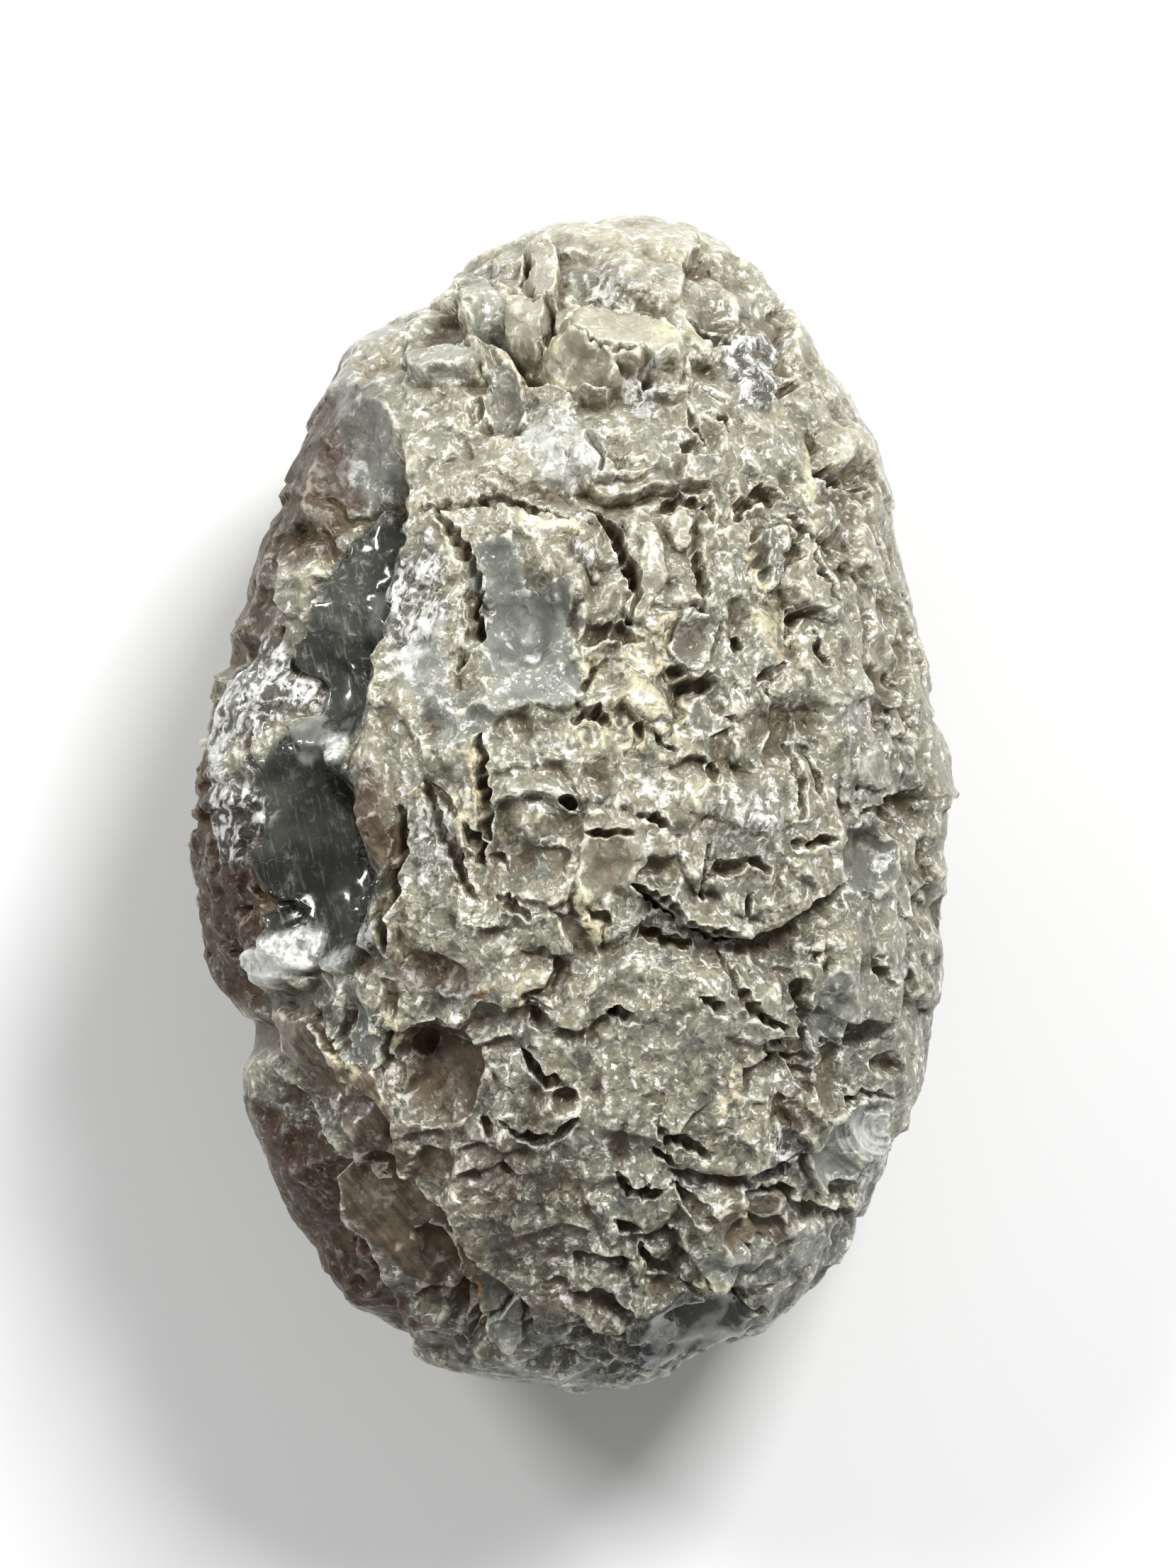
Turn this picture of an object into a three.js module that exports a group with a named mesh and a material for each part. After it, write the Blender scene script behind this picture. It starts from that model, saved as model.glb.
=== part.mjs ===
// A rough obsidian nodule: one egg-shaped solid with scooped hollows, jagged ledges, pits and cracks.
// Millimetres, +Z up. It lies on a small flat: +Y runs along its length and +X across it.
// The origin is the centre of the bounding box's bottom face, on the flat.

import * as THREE from "three";
import { mergeVertices } from "three/addons/utils/BufferGeometryUtils.js";

// ---- Driving dimensions ----

const WIDTH = 43.6; // over the peaks, along X
const LENGTH = 66.6; // over the peaks, along Y
const HEIGHT = 33.4; // from the flat to the highest peak
const CROWN = 18.4; // height of the smooth crown above the widest plan
const KEEL = 15.6; // depth of the smooth underside below the widest plan
const REST_DEPTH = 15.1; // depth of the flat below the widest plan
const REST_SPOT = { across: 6.0, along: 9.0, edge: 1.45 }; // its half sizes, and where the relief is back
const [HALF_WIDTH, HALF_LENGTH] = [WIDTH / 2, LENGTH / 2];
const FULLNESS = 2.25; // 2 is an ellipsoid, more is boxier
const CELLS = { across: 26, along: 40, high: 21 }; // mesh cells over the stone
const CROWN_FAVOUR = 0.3; // more than 0 makes the cells finer on the crown and coarser underneath
const SOFT = 0.8; // width over which a ledge drops
const RELAX = { passes: 1, share: 0.35 }; // evens out relief that is finer than a mesh cell

// Plan outline at the widest level, anticlockwise from the +X side.
const OUTLINE = [
  [21.7, 0.0],
  [21.0, 7.0],
  [19.7, 14.2],
  [17.4, 21.4],
  [14.4, 26.2],
  [10.1, 31.0],
  [5.4, 33.3],
  [0.0, 33.3],
  [-4.0, 31.9],
  [-8.6, 29.3],
  [-13.3, 26.1],
  [-15.8, 21.4],
  [-17.9, 16.6],
  [-19.2, 11.8],
  [-20.2, 9.4],
  [-21.3, 4.6],
  [-21.8, -2.4],
  [-20.8, -7.4],
  [-18.3, -12.4],
  [-18.3, -17.0],
  [-16.9, -21.8],
  [-13.7, -26.6],
  [-9.0, -30.3],
  [-4.0, -32.5],
  [0.0, -33.2],
  [3.8, -33.1],
  [7.8, -31.4],
  [12.2, -29.0],
  [16.5, -24.2],
  [19.1, -19.4],
  [21.2, -14.6],
  [21.7, -9.8],
  [21.4, -5.0],
];

// Oval marks on the crown: plan centre, half sizes, turn anticlockwise in degrees, and rise.
// A hollow's rise is negative.
const SCOOPS = [
  { x: -12.2, y: 16.2, across: 2.9, along: 6.6, turn: -6, rise: -2.6 }, // upper scoop of the left valley
  { x: -13.8, y: 7.0, across: 2.7, along: 4.8, turn: -10, rise: -2.6 }, // its narrow middle
  { x: -14.4, y: -2.6, across: 3.5, along: 6.3, turn: 6, rise: -3.7 }, // its deep lower hollow
  { x: -19.6, y: 8.7, across: 1.6, along: 1.3, turn: 30, rise: -1.5 }, // notch in the left side
  { x: -18.3, y: -12.7, across: 1.8, along: 1.4, turn: 0, rise: -1.5 }, // notch above the lower left bulge
  { x: -3.5, y: 11.6, across: 2.6, along: 4.2, turn: 15, rise: -1.3 }, // glassy scoop in the middle
  { x: -2.2, y: 8.8, across: 3.8, along: 3.2, turn: -35, rise: -1.1 },
  { x: -7.0, y: 5.4, across: 2.0, along: 1.6, turn: 20, rise: -0.7 },
  { x: -4.2, y: 22.8, across: 1.5, along: 2.3, turn: -4, rise: -1.4 },
  { x: 8.2, y: 27.1, across: 1.7, along: 1.0, turn: -10, rise: -1.8 },
  { x: 7.4, y: 5.9, across: 1.9, along: 1.9, turn: 0, rise: -1.3 },
  { x: 2.0, y: -3.3, across: 1.5, along: 2.5, turn: 6, rise: -0.9 },
  { x: 17.4, y: -2.6, across: 2.0, along: 2.2, turn: -30, rise: -1.5 },
  { x: 20.0, y: 0.0, across: 1.4, along: 1.8, turn: 0, rise: -0.9 },
  { x: -7.7, y: -14.7, across: 2.8, along: 3.1, turn: 0, rise: -2.0 }, // round basin
  { x: -8.9, y: -13.3, across: 1.0, along: 0.9, turn: 0, rise: -1.4 }, // hole in the basin
  { x: 14.8, y: -11.4, across: 1.4, along: 2.6, turn: -8, rise: -1.0 }, // beside the upright trench
  { x: 17.0, y: -12.5, across: 1.3, along: 1.2, turn: 0, rise: -0.9 },
  { x: 15.2, y: -19.2, across: 1.3, along: 2.1, turn: -10, rise: -1.2 }, // rippled fan
  { x: 16.9, y: -17.6, across: 1.6, along: 1.5, turn: 0, rise: -0.9 },
  { x: 7.2, y: -28.9, across: 3.4, along: 1.8, turn: 8, rise: -0.8 }, // glassy patch near the lower end
  { x: -0.4, y: -15.9, across: 0.9, along: 0.9, turn: 0, rise: -1.2 },
  { x: 0.6, y: 12.6, across: 2.9, along: 3.4, turn: 0, rise: 0.8 }, // shell-shaped, in the curved groove
  { x: -10.9, y: 0.8, across: 1.1, along: 4.4, turn: 4, rise: 1.6 }, // pillar beside the left valley
  { x: -10.4, y: -5.6, across: 0.9, along: 2.8, turn: -8, rise: 1.2 },
  { x: -17.0, y: -7.9, across: 2.1, along: 2.9, turn: 25, rise: 1.7 }, // shell-like lobe
  { x: -18.6, y: 3.6, across: 1.9, along: 6.2, turn: -8, rise: 0.9 }, // crest of the left side
  { x: 2.9, y: 25.8, across: 3.7, along: 1.9, turn: -14, rise: 1.1 }, // blocks at the upper end
  { x: -0.3, y: 24.9, across: 1.6, along: 1.7, turn: 20, rise: 1.0 },
  { x: -2.6, y: 27.0, across: 1.5, along: 1.6, turn: -10, rise: 1.1 },
  { x: -7.2, y: 25.1, across: 2.4, along: 1.4, turn: 12, rise: 1.0 },
  { x: -5.0, y: 28.2, across: 1.7, along: 1.8, turn: 0, rise: 1.0 },
  { x: -1.7, y: 29.9, across: 1.1, along: 2.1, turn: 8, rise: 0.8 },
  { x: -17.9, y: -16.6, across: 2.0, along: 3.4, turn: 0, rise: 0.9 }, // lower left bulge
];

// Ledges on the crown: how far they drop to the right of their line, and how far the low side reaches.
const LEDGES = [
  {
    drop: 2.9,
    reach: 5.4,
    line: [
      [-15.2, -11.5],
      [-13.0, -15.2],
      [-10.1, -17.3],
      [-9.8, -19.8],
      [-7.0, -22.1],
      [-5.4, -25.3],
      [-2.4, -27.6],
      [-1.6, -30.5],
    ],
  },
  {
    drop: 2.3,
    reach: 3.4,
    line: [
      [-17.6, -13.4],
      [-14.8, -18.2],
      [-13.2, -20.2],
      [-13.2, -22.6],
      [-11.7, -24.1],
      [-10.0, -27.0],
      [-8.6, -31.2],
    ],
  },
  {
    drop: 2.2,
    reach: 2.6,
    line: [
      [-9.8, 20.5],
      [-9.9, 13.6],
      [-10.8, 10.4],
      [-12.2, 7.4],
    ],
  },
  {
    drop: 2.3,
    reach: 2.4,
    line: [
      [-13.8, 3.2],
      [-12.0, -0.6],
      [-11.4, -5.0],
      [-11.8, -7.6],
    ],
  },
  {
    drop: 2.0,
    reach: 2.4,
    line: [
      [2.4, 22.8],
      [-0.6, 23.5],
      [-4.0, 25.6],
      [-6.2, 26.8],
    ],
  },
  {
    drop: 1.9,
    reach: 3.0,
    line: [
      [3.4, -4.0],
      [6.7, -6.4],
      [10.2, -7.1],
      [12.6, -6.1],
      [15.6, -4.0],
      [17.2, -3.6],
    ],
  },
  {
    drop: 1.0,
    reach: 1.8,
    line: [
      [-0.4, -26.7],
      [2.5, -27.0],
      [4.8, -28.3],
    ],
  },
  {
    drop: 1.1,
    reach: 2.1,
    line: [
      [5.6, -20.0],
      [8.0, -20.1],
      [12.0, -19.2],
      [13.4, -19.6],
    ],
  },
  {
    drop: 1.2,
    reach: 2.2,
    line: [
      [9.4, -22.2],
      [11.2, -20.9],
      [13.6, -21.7],
    ],
  },
  {
    drop: 1.1,
    reach: 2.6,
    line: [
      [5.2, -28.4],
      [6.0, -27.4],
      [10.0, -27.1],
      [11.0, -28.0],
    ],
  },
];

// Round-bottomed grooves on the crown.
const GROOVES = [
  {
    depth: 1.5,
    halfWidth: 0.9,
    line: [
      [1.0, 16.4],
      [2.9, 15.0],
      [3.8, 12.0],
      [3.5, 10.4],
    ],
  },
  {
    depth: 1.5,
    halfWidth: 0.9,
    line: [
      [-7.6, 16.6],
      [-5.6, 12.5],
      [-5.4, 10.2],
      [-6.5, 7.8],
    ],
  },
  {
    depth: 1.7,
    halfWidth: 1.0,
    line: [
      [-5.6, 4.1],
      [-5.3, 0.4],
      [-5.2, -2.4],
    ],
  },
  {
    depth: 1.4,
    halfWidth: 0.9,
    line: [
      [-9.6, 0.3],
      [-9.7, -3.2],
      [-10.6, -7.7],
    ],
  },
  {
    depth: 1.5,
    halfWidth: 1.0,
    line: [
      [13.1, -9.3],
      [13.1, -12.0],
      [14.1, -15.5],
    ],
  },
  {
    depth: 1.4,
    halfWidth: 1.0,
    line: [
      [11.4, 15.7],
      [11.2, 14.2],
      [11.6, 12.5],
    ],
  },
  {
    depth: 1.3,
    halfWidth: 0.8,
    line: [
      [14.2, 19.4],
      [15.4, 19.3],
      [17.4, 18.3],
    ],
  },
  {
    depth: 1.2,
    halfWidth: 0.8,
    line: [
      [8.9, -8.1],
      [10.2, -10.9],
      [12.1, -12.1],
    ],
  },
  {
    depth: 1.2,
    halfWidth: 0.8,
    line: [
      [4.9, -16.9],
      [6.0, -18.0],
      [8.0, -19.3],
    ],
  },
  {
    depth: 1.3,
    halfWidth: 0.8,
    line: [
      [2.9, -19.9],
      [4.6, -21.3],
      [6.0, -21.1],
    ],
  },
  {
    depth: 1.3,
    halfWidth: 0.8,
    line: [
      [-2.5, -13.5],
      [-1.6, -14.7],
      [-0.7, -14.9],
    ],
  },
  {
    depth: 1.1,
    halfWidth: 0.8,
    line: [
      [-4.1, -17.1],
      [-2.5, -18.0],
      [0.4, -16.9],
    ],
  },
];

// Smooth places on the crown, and how much of the ground relief is missing in them.
const SMOOTH_SPOTS = [
  { x: -12.3, y: 17.0, across: 3.0, along: 6.0, turn: -6, share: 0.6 },
  { x: -13.3, y: 8.6, across: 3.2, along: 6.6, turn: -10, share: 0.9 },
  { x: -14.4, y: -2.8, across: 3.7, along: 7.0, turn: 6, share: 0.9 },
  { x: -2.9, y: 10.8, across: 4.4, along: 6.0, turn: 8, share: 0.8 },
  { x: -7.5, y: 4.0, across: 3.5, along: 16.0, turn: 0, share: 0.5 },
  { x: 5.0, y: -13.5, across: 8.0, along: 6.5, turn: 0, share: 0.5 },
  { x: -12.0, y: -21.0, across: 6.0, along: 12.0, turn: 32, share: 0.5 },
  { x: 1.0, y: 28.5, across: 8.0, along: 5.5, turn: 0, share: 0.5 },
  { x: 7.0, y: -29.0, across: 3.8, along: 2.0, turn: 10, share: 0.9 },
];

// Ground relief over the whole stone, all of it below the smooth body.
// A layer scatters its forms one to a cell.
const SWELL = { size: 11.0, height: 0.5 };
const DRIFT = { size: 2.6, reach: 0.7 }; // pushes the layers about, so that their outlines wander
const LIPS = { size: 9.0, turn: 1.3, lean: 20.0, back: 1.1 }; // turns of the steep edges, in radians
const GIRTH = { height: 7.0, share: 0.55 }; // the relief is lower near the widest plan
const PLATES = [
  { size: [7.0, 6.0, 6.5], lean: 0.12, step: 0.8, soft: 0.9, seed: 31 },
  { size: [3.4, 2.6, 3.2], lean: 0.14, step: 0.26, soft: 0.7, seed: 41 },
];
const DENTS = [
  { size: [6.0, 5.6, 6.0], reach: 0.64, depth: 0.95, share: 0.6, slim: 0.8, seed: 111 },
  { size: [3.3, 3.3, 3.3], reach: 0.72, depth: 0.95, share: 0.85, slim: 0.75, seed: 121 },
];
const DENT_LEAN = 0.7; // how much deeper a dent is under its upper edge
const SHALLOWEST = 0.35; // the shallowest dent's share of the full depth
const SWAY = 0.9; // how far a plate's slope may turn aside from its lip
const LEAST = { plates: 0.15, wander: 0.35 }; // what smooth places keep of the relief's plates and wandering
const MARK_WANDER = 0.5; // share of the drift by which the marks' outlines wander
const DENT_WANDER = 0.7;
const GIRTH_BAND = { under: -6, low: -3, high: 5 }; // heights where the marks fade out at the widest plan
const UNDERSIDE = { share: 0.8, along: 4 }; // how strong its marks are, and how far along Y they are moved
const JITTER = 0.6; // share of a cell's width in which its scattered point may lie

// ---- Number helpers ----

const clamp01 = (value) => Math.min(1, Math.max(0, value));

function smoothstep(from, to, value) {
  const share = clamp01((value - from) / (to - from));
  return share * share * (3 - 2 * share);
}

const mix = (a, b, share) => a + (b - a) * share;

// A fixed pseudo-random number from 0 to 1 for a whole-number grid point.
function hash(i, j, k, seed) {
  let h = Math.imul(i, 0x8da6b343) ^ Math.imul(j, 0xd8163841);
  h ^= Math.imul(k, 0xcb1ab31f) ^ Math.imul(seed, 0x9e3779b1);
  h = Math.imul(h ^ (h >>> 13), 0x5bd1e995);
  h = Math.imul(h ^ (h >>> 15), 0x27d4eb2d);
  return ((h ^ (h >>> 16)) >>> 0) / 0x100000000;
}

// Smooth noise from -1 to 1, with forms about one size across.
function noise(point, size, seed) {
  const at = [point.x / size, point.y / size, point.z / size];
  const cell = at.map(Math.floor);
  const share = at.map((v, axis) => {
    const f = v - cell[axis];
    return f * f * f * (f * (f * 6 - 15) + 10);
  });
  const corner = (dx, dy, dz) => hash(cell[0] + dx, cell[1] + dy, cell[2] + dz, seed);
  const row = (dy, dz) => mix(corner(0, dy, dz), corner(1, dy, dz), share[0]);
  const sheet = (dz) => mix(row(0, dz), row(1, dz), share[1]);
  return 2 * mix(sheet(0), sheet(1), share[2]) - 1;
}

// The two nearest of the points scattered one to a cell: gaps in cells, offsets in mm.
function scatter(point, size, seed) {
  const at = [point.x / size[0], point.y / size[1], point.z / size[2]];
  const base = at.map((v) => Math.floor(v - 0.5));
  const seats = [];
  for (let corner = 0; corner < 8; corner++) {
    const cell = base.map((v, axis) => v + ((corner >> axis) & 1));
    const place = (axis) => cell[axis] + (1 - JITTER) / 2 + JITTER * hash(...cell, seed + axis);
    const offset = at.map((v, axis) => v - place(axis));
    seats.push({ gap: Math.hypot(...offset), offset: offset.map((v, axis) => v * size[axis]), cell });
  }
  return seats.sort((a, b) => a.gap - b.gap).slice(0, 2);
}

const average = (values) => values.reduce((sum, value) => sum + value, 0) / values.length;

// ---- Smooth body ----

// How far the outline lies outside the plain ellipse, by the ellipse's own angle.
const outlineScale = OUTLINE.map(([x, y]) => ({
  angle: Math.atan2(y / HALF_LENGTH, x / HALF_WIDTH),
  scale: Math.hypot(x / HALF_WIDTH, y / HALF_LENGTH),
})).sort((a, b) => a.angle - b.angle);

function outlineAt(angle) {
  const after = outlineScale.findIndex((o) => o.angle > angle);
  const next = outlineScale[Math.max(after, 0)];
  const last = outlineScale.at(after - 1 >= 0 ? after - 1 : -1);
  const turn = 2 * Math.PI;
  const span = (next.angle - last.angle + turn) % turn;
  const share = ((angle - last.angle + turn) % turn) / span;
  return mix(last.scale, next.scale, smoothstep(0, 1, share));
}

// The unworn surface in a direction from the middle of the widest plan.
function bodyPoint(direction) {
  const plan = Math.hypot(direction.x, direction.y);
  const swell = (plan ** FULLNESS + Math.abs(direction.z) ** FULLNESS) ** (-1 / FULLNESS);
  const outline = mix(1, outlineAt(Math.atan2(direction.y, direction.x)), plan * plan);
  return new THREE.Vector3(
    HALF_WIDTH * outline * swell * direction.x,
    HALF_LENGTH * outline * swell * direction.y,
    (direction.z > 0 ? CROWN : KEEL) * swell * direction.z,
  );
}

function bodyNormal(point) {
  const height = point.z > 0 ? CROWN : KEEL;
  const slopes = [point.x / HALF_WIDTH ** 2, point.y / HALF_LENGTH ** 2, point.z / height ** 2];
  return new THREE.Vector3(...slopes).normalize();
}

// ---- Relief ----

// How deep inside an oval a place is, 1 at its centre and 0 at its edge and past it.
function depthIn(oval, x, y) {
  const turn = THREE.MathUtils.degToRad(oval.turn);
  const [dx, dy] = [x - oval.x, y - oval.y];
  const across = (dx * Math.cos(turn) + dy * Math.sin(turn)) / oval.across;
  const along = (dy * Math.cos(turn) - dx * Math.sin(turn)) / oval.along;
  return Math.max(0, 1 - across * across - along * along);
}

// Distance to a line in plan, the side of it (1 is the right), and how far along it that is, from 0 to 1.
function besideLine(line, x, y) {
  let found = { gap: Infinity, side: 1, share: 0 };
  for (let n = 0; n + 1 < line.length; n++) {
    const [[ax, ay], [bx, by]] = [line[n], line[n + 1]];
    const [ux, uy] = [bx - ax, by - ay];
    const t = clamp01(((x - ax) * ux + (y - ay) * uy) / (ux * ux + uy * uy));
    const gap = Math.hypot(x - ax - t * ux, y - ay - t * uy);
    if (gap < found.gap) {
      const side = (y - ay) * ux - (x - ax) * uy < 0 ? 1 : -1;
      found = { gap, side, share: (n + t) / (line.length - 1) };
    }
  }
  return found;
}

function ledgeRise(ledge, x, y) {
  const { gap, side, share } = besideLine(ledge.line, x, y);
  if (side < 0 || gap > ledge.reach) return 0;
  const ends = smoothstep(0, 0.12, share) * smoothstep(1, 0.88, share);
  return -ledge.drop * ends * smoothstep(0, SOFT, gap) * (1 - smoothstep(SOFT, ledge.reach, gap));
}

function grooveRise(groove, x, y) {
  const { gap, share } = besideLine(groove.line, x, y);
  const width = groove.halfWidth * (0.4 + 0.6 * Math.sin(Math.PI * share));
  return -groove.depth * Math.sqrt(Math.max(0, 1 - (gap / width) ** 2));
}

const markRise = (x, y) =>
  SCOOPS.reduce((sum, scoop) => sum + scoop.rise * depthIn(scoop, x, y), 0) +
  LEDGES.reduce((sum, ledge) => sum + ledgeRise(ledge, x, y), 0) +
  GROOVES.reduce((sum, groove) => sum + grooveRise(groove, x, y), 0);

// How rough the ground is, from 0 to 1.
function roughness(point) {
  const girth = mix(GIRTH.share, 1, smoothstep(0, GIRTH.height, Math.abs(point.z)));
  const { x, y } = point;
  const smooth = SMOOTH_SPOTS.map((spot) => spot.share * smoothstep(0, 0.4, depthIn(spot, x, y)));
  return girth * (1 - Math.max(...smooth));
}

// The direction in plan that steep edges face: -Y, turned about, and back towards the middle on the +X side.
function lipAt(point) {
  const side = smoothstep(5, 12, point.x);
  const turn = point.x / LIPS.lean - LIPS.back * side + LIPS.turn * noise(point, LIPS.size, 61);
  return [Math.sin(turn), -Math.cos(turn)];
}

// Broken plates at different levels, each climbing towards its lip.
function platesRise(layer, point, lip) {
  const [near, far] = scatter(point, layer.size, layer.seed);
  const level = ({ offset, cell }) => {
    const sway = SWAY * (2 * hash(...cell, layer.seed + 3) - 1);
    const climb = offset[0] * (lip[0] + sway * lip[1]) + offset[1] * (lip[1] - sway * lip[0]);
    return layer.lean * climb + layer.step * (hash(...cell, layer.seed + 4) - 1);
  };
  const share = smoothstep(0, layer.soft, (far.gap - near.gap) * average(layer.size));
  return mix((level(near) + level(far)) / 2, level(near), share);
}

// Hollows with crisp rims, in some of the cells and turned at random.
function dentsRise(layer, point, lip) {
  const span = average(layer.size);
  const depthAt = ({ gap, offset, cell }) => {
    if (hash(...cell, layer.seed + 3) >= layer.share) return 0;
    const turn = Math.PI * hash(...cell, layer.seed + 5);
    const across = (offset[0] * Math.cos(turn) + offset[1] * Math.sin(turn)) / span;
    const thin = (1 / layer.slim ** 2 - 1) * across * across;
    const inside = Math.max(0, 1 - (gap * gap + thin) / layer.reach ** 2);
    const lean = clamp01(0.5 + (offset[0] * lip[0] + offset[1] * lip[1]) / (2 * layer.reach * span));
    const depth = layer.depth * mix(SHALLOWEST, 1, hash(...cell, layer.seed + 4));
    return depth * inside * (1 + DENT_LEAN * (1 - 2 * lean));
  };
  return -Math.max(...scatter(point, layer.size, layer.seed).map(depthAt));
}

// Where the wandering outlines read a point.
function drifted(point, share) {
  const push = [71, 72, 73].map((seed) => share * DRIFT.reach * noise(point, DRIFT.size, seed));
  return new THREE.Vector3(...push).add(point);
}

function groundRise(point, rough) {
  const lip = lipAt(point);
  const swell = SWELL.height * (noise(point, SWELL.size, 1) - 1);
  const plates = PLATES.reduce((sum, layer) => sum + platesRise(layer, drifted(point, 1), lip), 0);
  const dents = DENTS.reduce((sum, layer) => sum + dentsRise(layer, drifted(point, DENT_WANDER), lip), 0);
  return swell + mix(LEAST.plates, 1, rough) * plates + rough * dents;
}

// The crown's marks are kept to the crown. The underside has the same kinds of marks, turned half round.
function marksAt(point, rough) {
  const read = drifted(point, MARK_WANDER * mix(LEAST.wander, 1, rough));
  const { under, low, high } = GIRTH_BAND;
  if (point.z > low) return smoothstep(low, high, point.z) * markRise(read.x, read.y);
  return UNDERSIDE.share * smoothstep(low, under, point.z) * markRise(-read.x, read.y + UNDERSIDE.along);
}

function reliefAt(point) {
  const spot = Math.hypot(point.x / REST_SPOT.across, point.y / REST_SPOT.along);
  const bare = point.z > 0 ? 1 : smoothstep(1, REST_SPOT.edge, spot);
  const rough = roughness(point);
  return bare * (marksAt(point, rough) + groundRise(point, rough));
}

// The body pushed out or in by the relief.
function surfacePoint(direction) {
  const point = bodyPoint(direction);
  return point.addScaledVector(bodyNormal(point), reliefAt(point));
}

// ---- Solid ----

// The vertices that share an edge with each vertex.
function neighboursOf(geometry) {
  const index = geometry.getIndex().array;
  const neighbours = Array.from({ length: geometry.getAttribute("position").count }, () => new Set());
  for (let n = 0; n < index.length; n += 3) {
    const corners = [index[n], index[n + 1], index[n + 2]];
    for (const corner of corners)
      for (const other of corners) if (other !== corner) neighbours[corner].add(other);
  }
  return neighbours;
}

// Moves each vertex part of the way to the middle of its neighbours.
function relax(geometry) {
  const position = geometry.getAttribute("position");
  const neighbours = neighboursOf(geometry);
  const middle = new THREE.Vector3();
  const point = new THREE.Vector3();
  for (let pass = 0; pass < RELAX.passes; pass++) {
    const before = position.clone();
    neighbours.forEach((around, n) => {
      middle.set(0, 0, 0);
      for (const other of around) middle.add(point.fromBufferAttribute(before, other));
      middle.divideScalar(around.size);
      point.fromBufferAttribute(before, n).lerp(middle, RELAX.share);
      position.setXYZ(n, point.x, point.y, point.z);
    });
  }
}

// Sets the stone down on its flat, at its real size, with the middle of its box at X = Y = 0.
function setDown(geometry) {
  const position = geometry.getAttribute("position");
  for (let n = 0; n < position.count; n++) position.setZ(n, Math.max(position.getZ(n) + REST_DEPTH, 0));
  geometry.center();
  const size = geometry.boundingBox.getSize(new THREE.Vector3());
  geometry.scale(WIDTH / size.x, LENGTH / size.y, HEIGHT / size.z);
  geometry.translate(0, 0, HEIGHT / 2);
}

// Where a line from the favoured point inside a ball, in a given direction, leaves the ball.
function favoured(direction) {
  const reach = Math.sqrt(1 - CROWN_FAVOUR ** 2 * (1 - direction.z ** 2)) - CROWN_FAVOUR * direction.z;
  return direction.multiplyScalar(reach).setZ(direction.z + CROWN_FAVOUR);
}

// A closed box grid, pushed out to the surface along evenly turned directions.
function stoneGeometry() {
  const box = new THREE.BoxGeometry(2, 2, 2, CELLS.across, CELLS.along, CELLS.high);
  box.deleteAttribute("normal");
  box.deleteAttribute("uv");
  const geometry = mergeVertices(box, 1e-6);
  const position = geometry.getAttribute("position");
  const direction = new THREE.Vector3();
  const even = (v) => Math.tan((v * Math.PI) / 4);
  for (let n = 0; n < position.count; n++) {
    direction.fromBufferAttribute(position, n);
    direction.set(even(direction.x), even(direction.y), even(direction.z)).normalize();
    position.setXYZ(n, ...surfacePoint(favoured(direction)));
  }
  relax(geometry);
  setDown(geometry);
  geometry.computeVertexNormals();
  return geometry;
}

function obsidianNodule() {
  const volcanicGlass = new THREE.MeshStandardMaterial({ color: 0x8b897a, roughness: 0.42, metalness: 0 });
  const mesh = new THREE.Mesh(stoneGeometry(), volcanicGlass);
  mesh.name = "obsidian_nodule";
  return mesh;
}

const specimen = new THREE.Group();
specimen.add(obsidianNodule());

export default specimen;
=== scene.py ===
"""A rough obsidian nodule lying on a pale table, with the fine skin that its plain solid leaves out."""
import logging
import math
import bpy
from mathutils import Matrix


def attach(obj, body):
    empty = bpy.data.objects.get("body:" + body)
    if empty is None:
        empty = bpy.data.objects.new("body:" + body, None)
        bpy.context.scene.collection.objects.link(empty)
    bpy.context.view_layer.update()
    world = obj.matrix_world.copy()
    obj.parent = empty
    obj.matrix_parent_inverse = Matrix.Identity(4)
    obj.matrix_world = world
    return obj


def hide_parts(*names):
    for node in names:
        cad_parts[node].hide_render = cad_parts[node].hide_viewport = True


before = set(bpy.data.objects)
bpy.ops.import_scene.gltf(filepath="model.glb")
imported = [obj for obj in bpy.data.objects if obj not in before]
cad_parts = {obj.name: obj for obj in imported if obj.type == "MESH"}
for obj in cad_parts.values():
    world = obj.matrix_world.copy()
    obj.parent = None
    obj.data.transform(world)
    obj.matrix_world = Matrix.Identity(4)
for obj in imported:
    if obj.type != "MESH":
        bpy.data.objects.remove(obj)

from concurrent.futures import ThreadPoolExecutor
from dataclasses import dataclass, field
from enum import Enum
from functools import reduce
from itertools import product
from operator import add, mul

import bmesh
import bpy
import numpy as np

LOG = logging.getLogger("nodule")
MM = 0.001
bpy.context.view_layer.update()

Points = np.ndarray
Values = np.ndarray
Band = tuple[float, float]
Triple = tuple[float, float, float]


# ---- Noise -------------------------------------------------------------------------------------------------

AXIS_FACTORS = (np.uint32(0x8DA6B343), np.uint32(0xD8163841), np.uint32(0xCB1AB31F))
SEED_FACTOR = 0x9E3779B1
WORD_BITS = 32
STIRS = ((13, np.uint32(0x5BD1E995)), (15, np.uint32(0x27D4EB2D)))
LAST_SHIFT = 16
CELL_MARGIN = 0.2


def smoothstep(start: float, end: float, value: Values) -> Values:
    """Ease from 0 at start to 1 at end.

    Args:
        start: The value where the result leaves 0.
        end: The value where the result reaches 1.
        value: What is eased.

    Returns:
        Numbers from 0 to 1.
    """
    share = np.clip((value - start) / (end - start), 0.0, 1.0)
    return share * share * (3.0 - 2.0 * share)


def mix(first: Values, second: Values, share: Values) -> Values:
    """Blend from first to second by share."""
    return first + (second - first) * share


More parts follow.
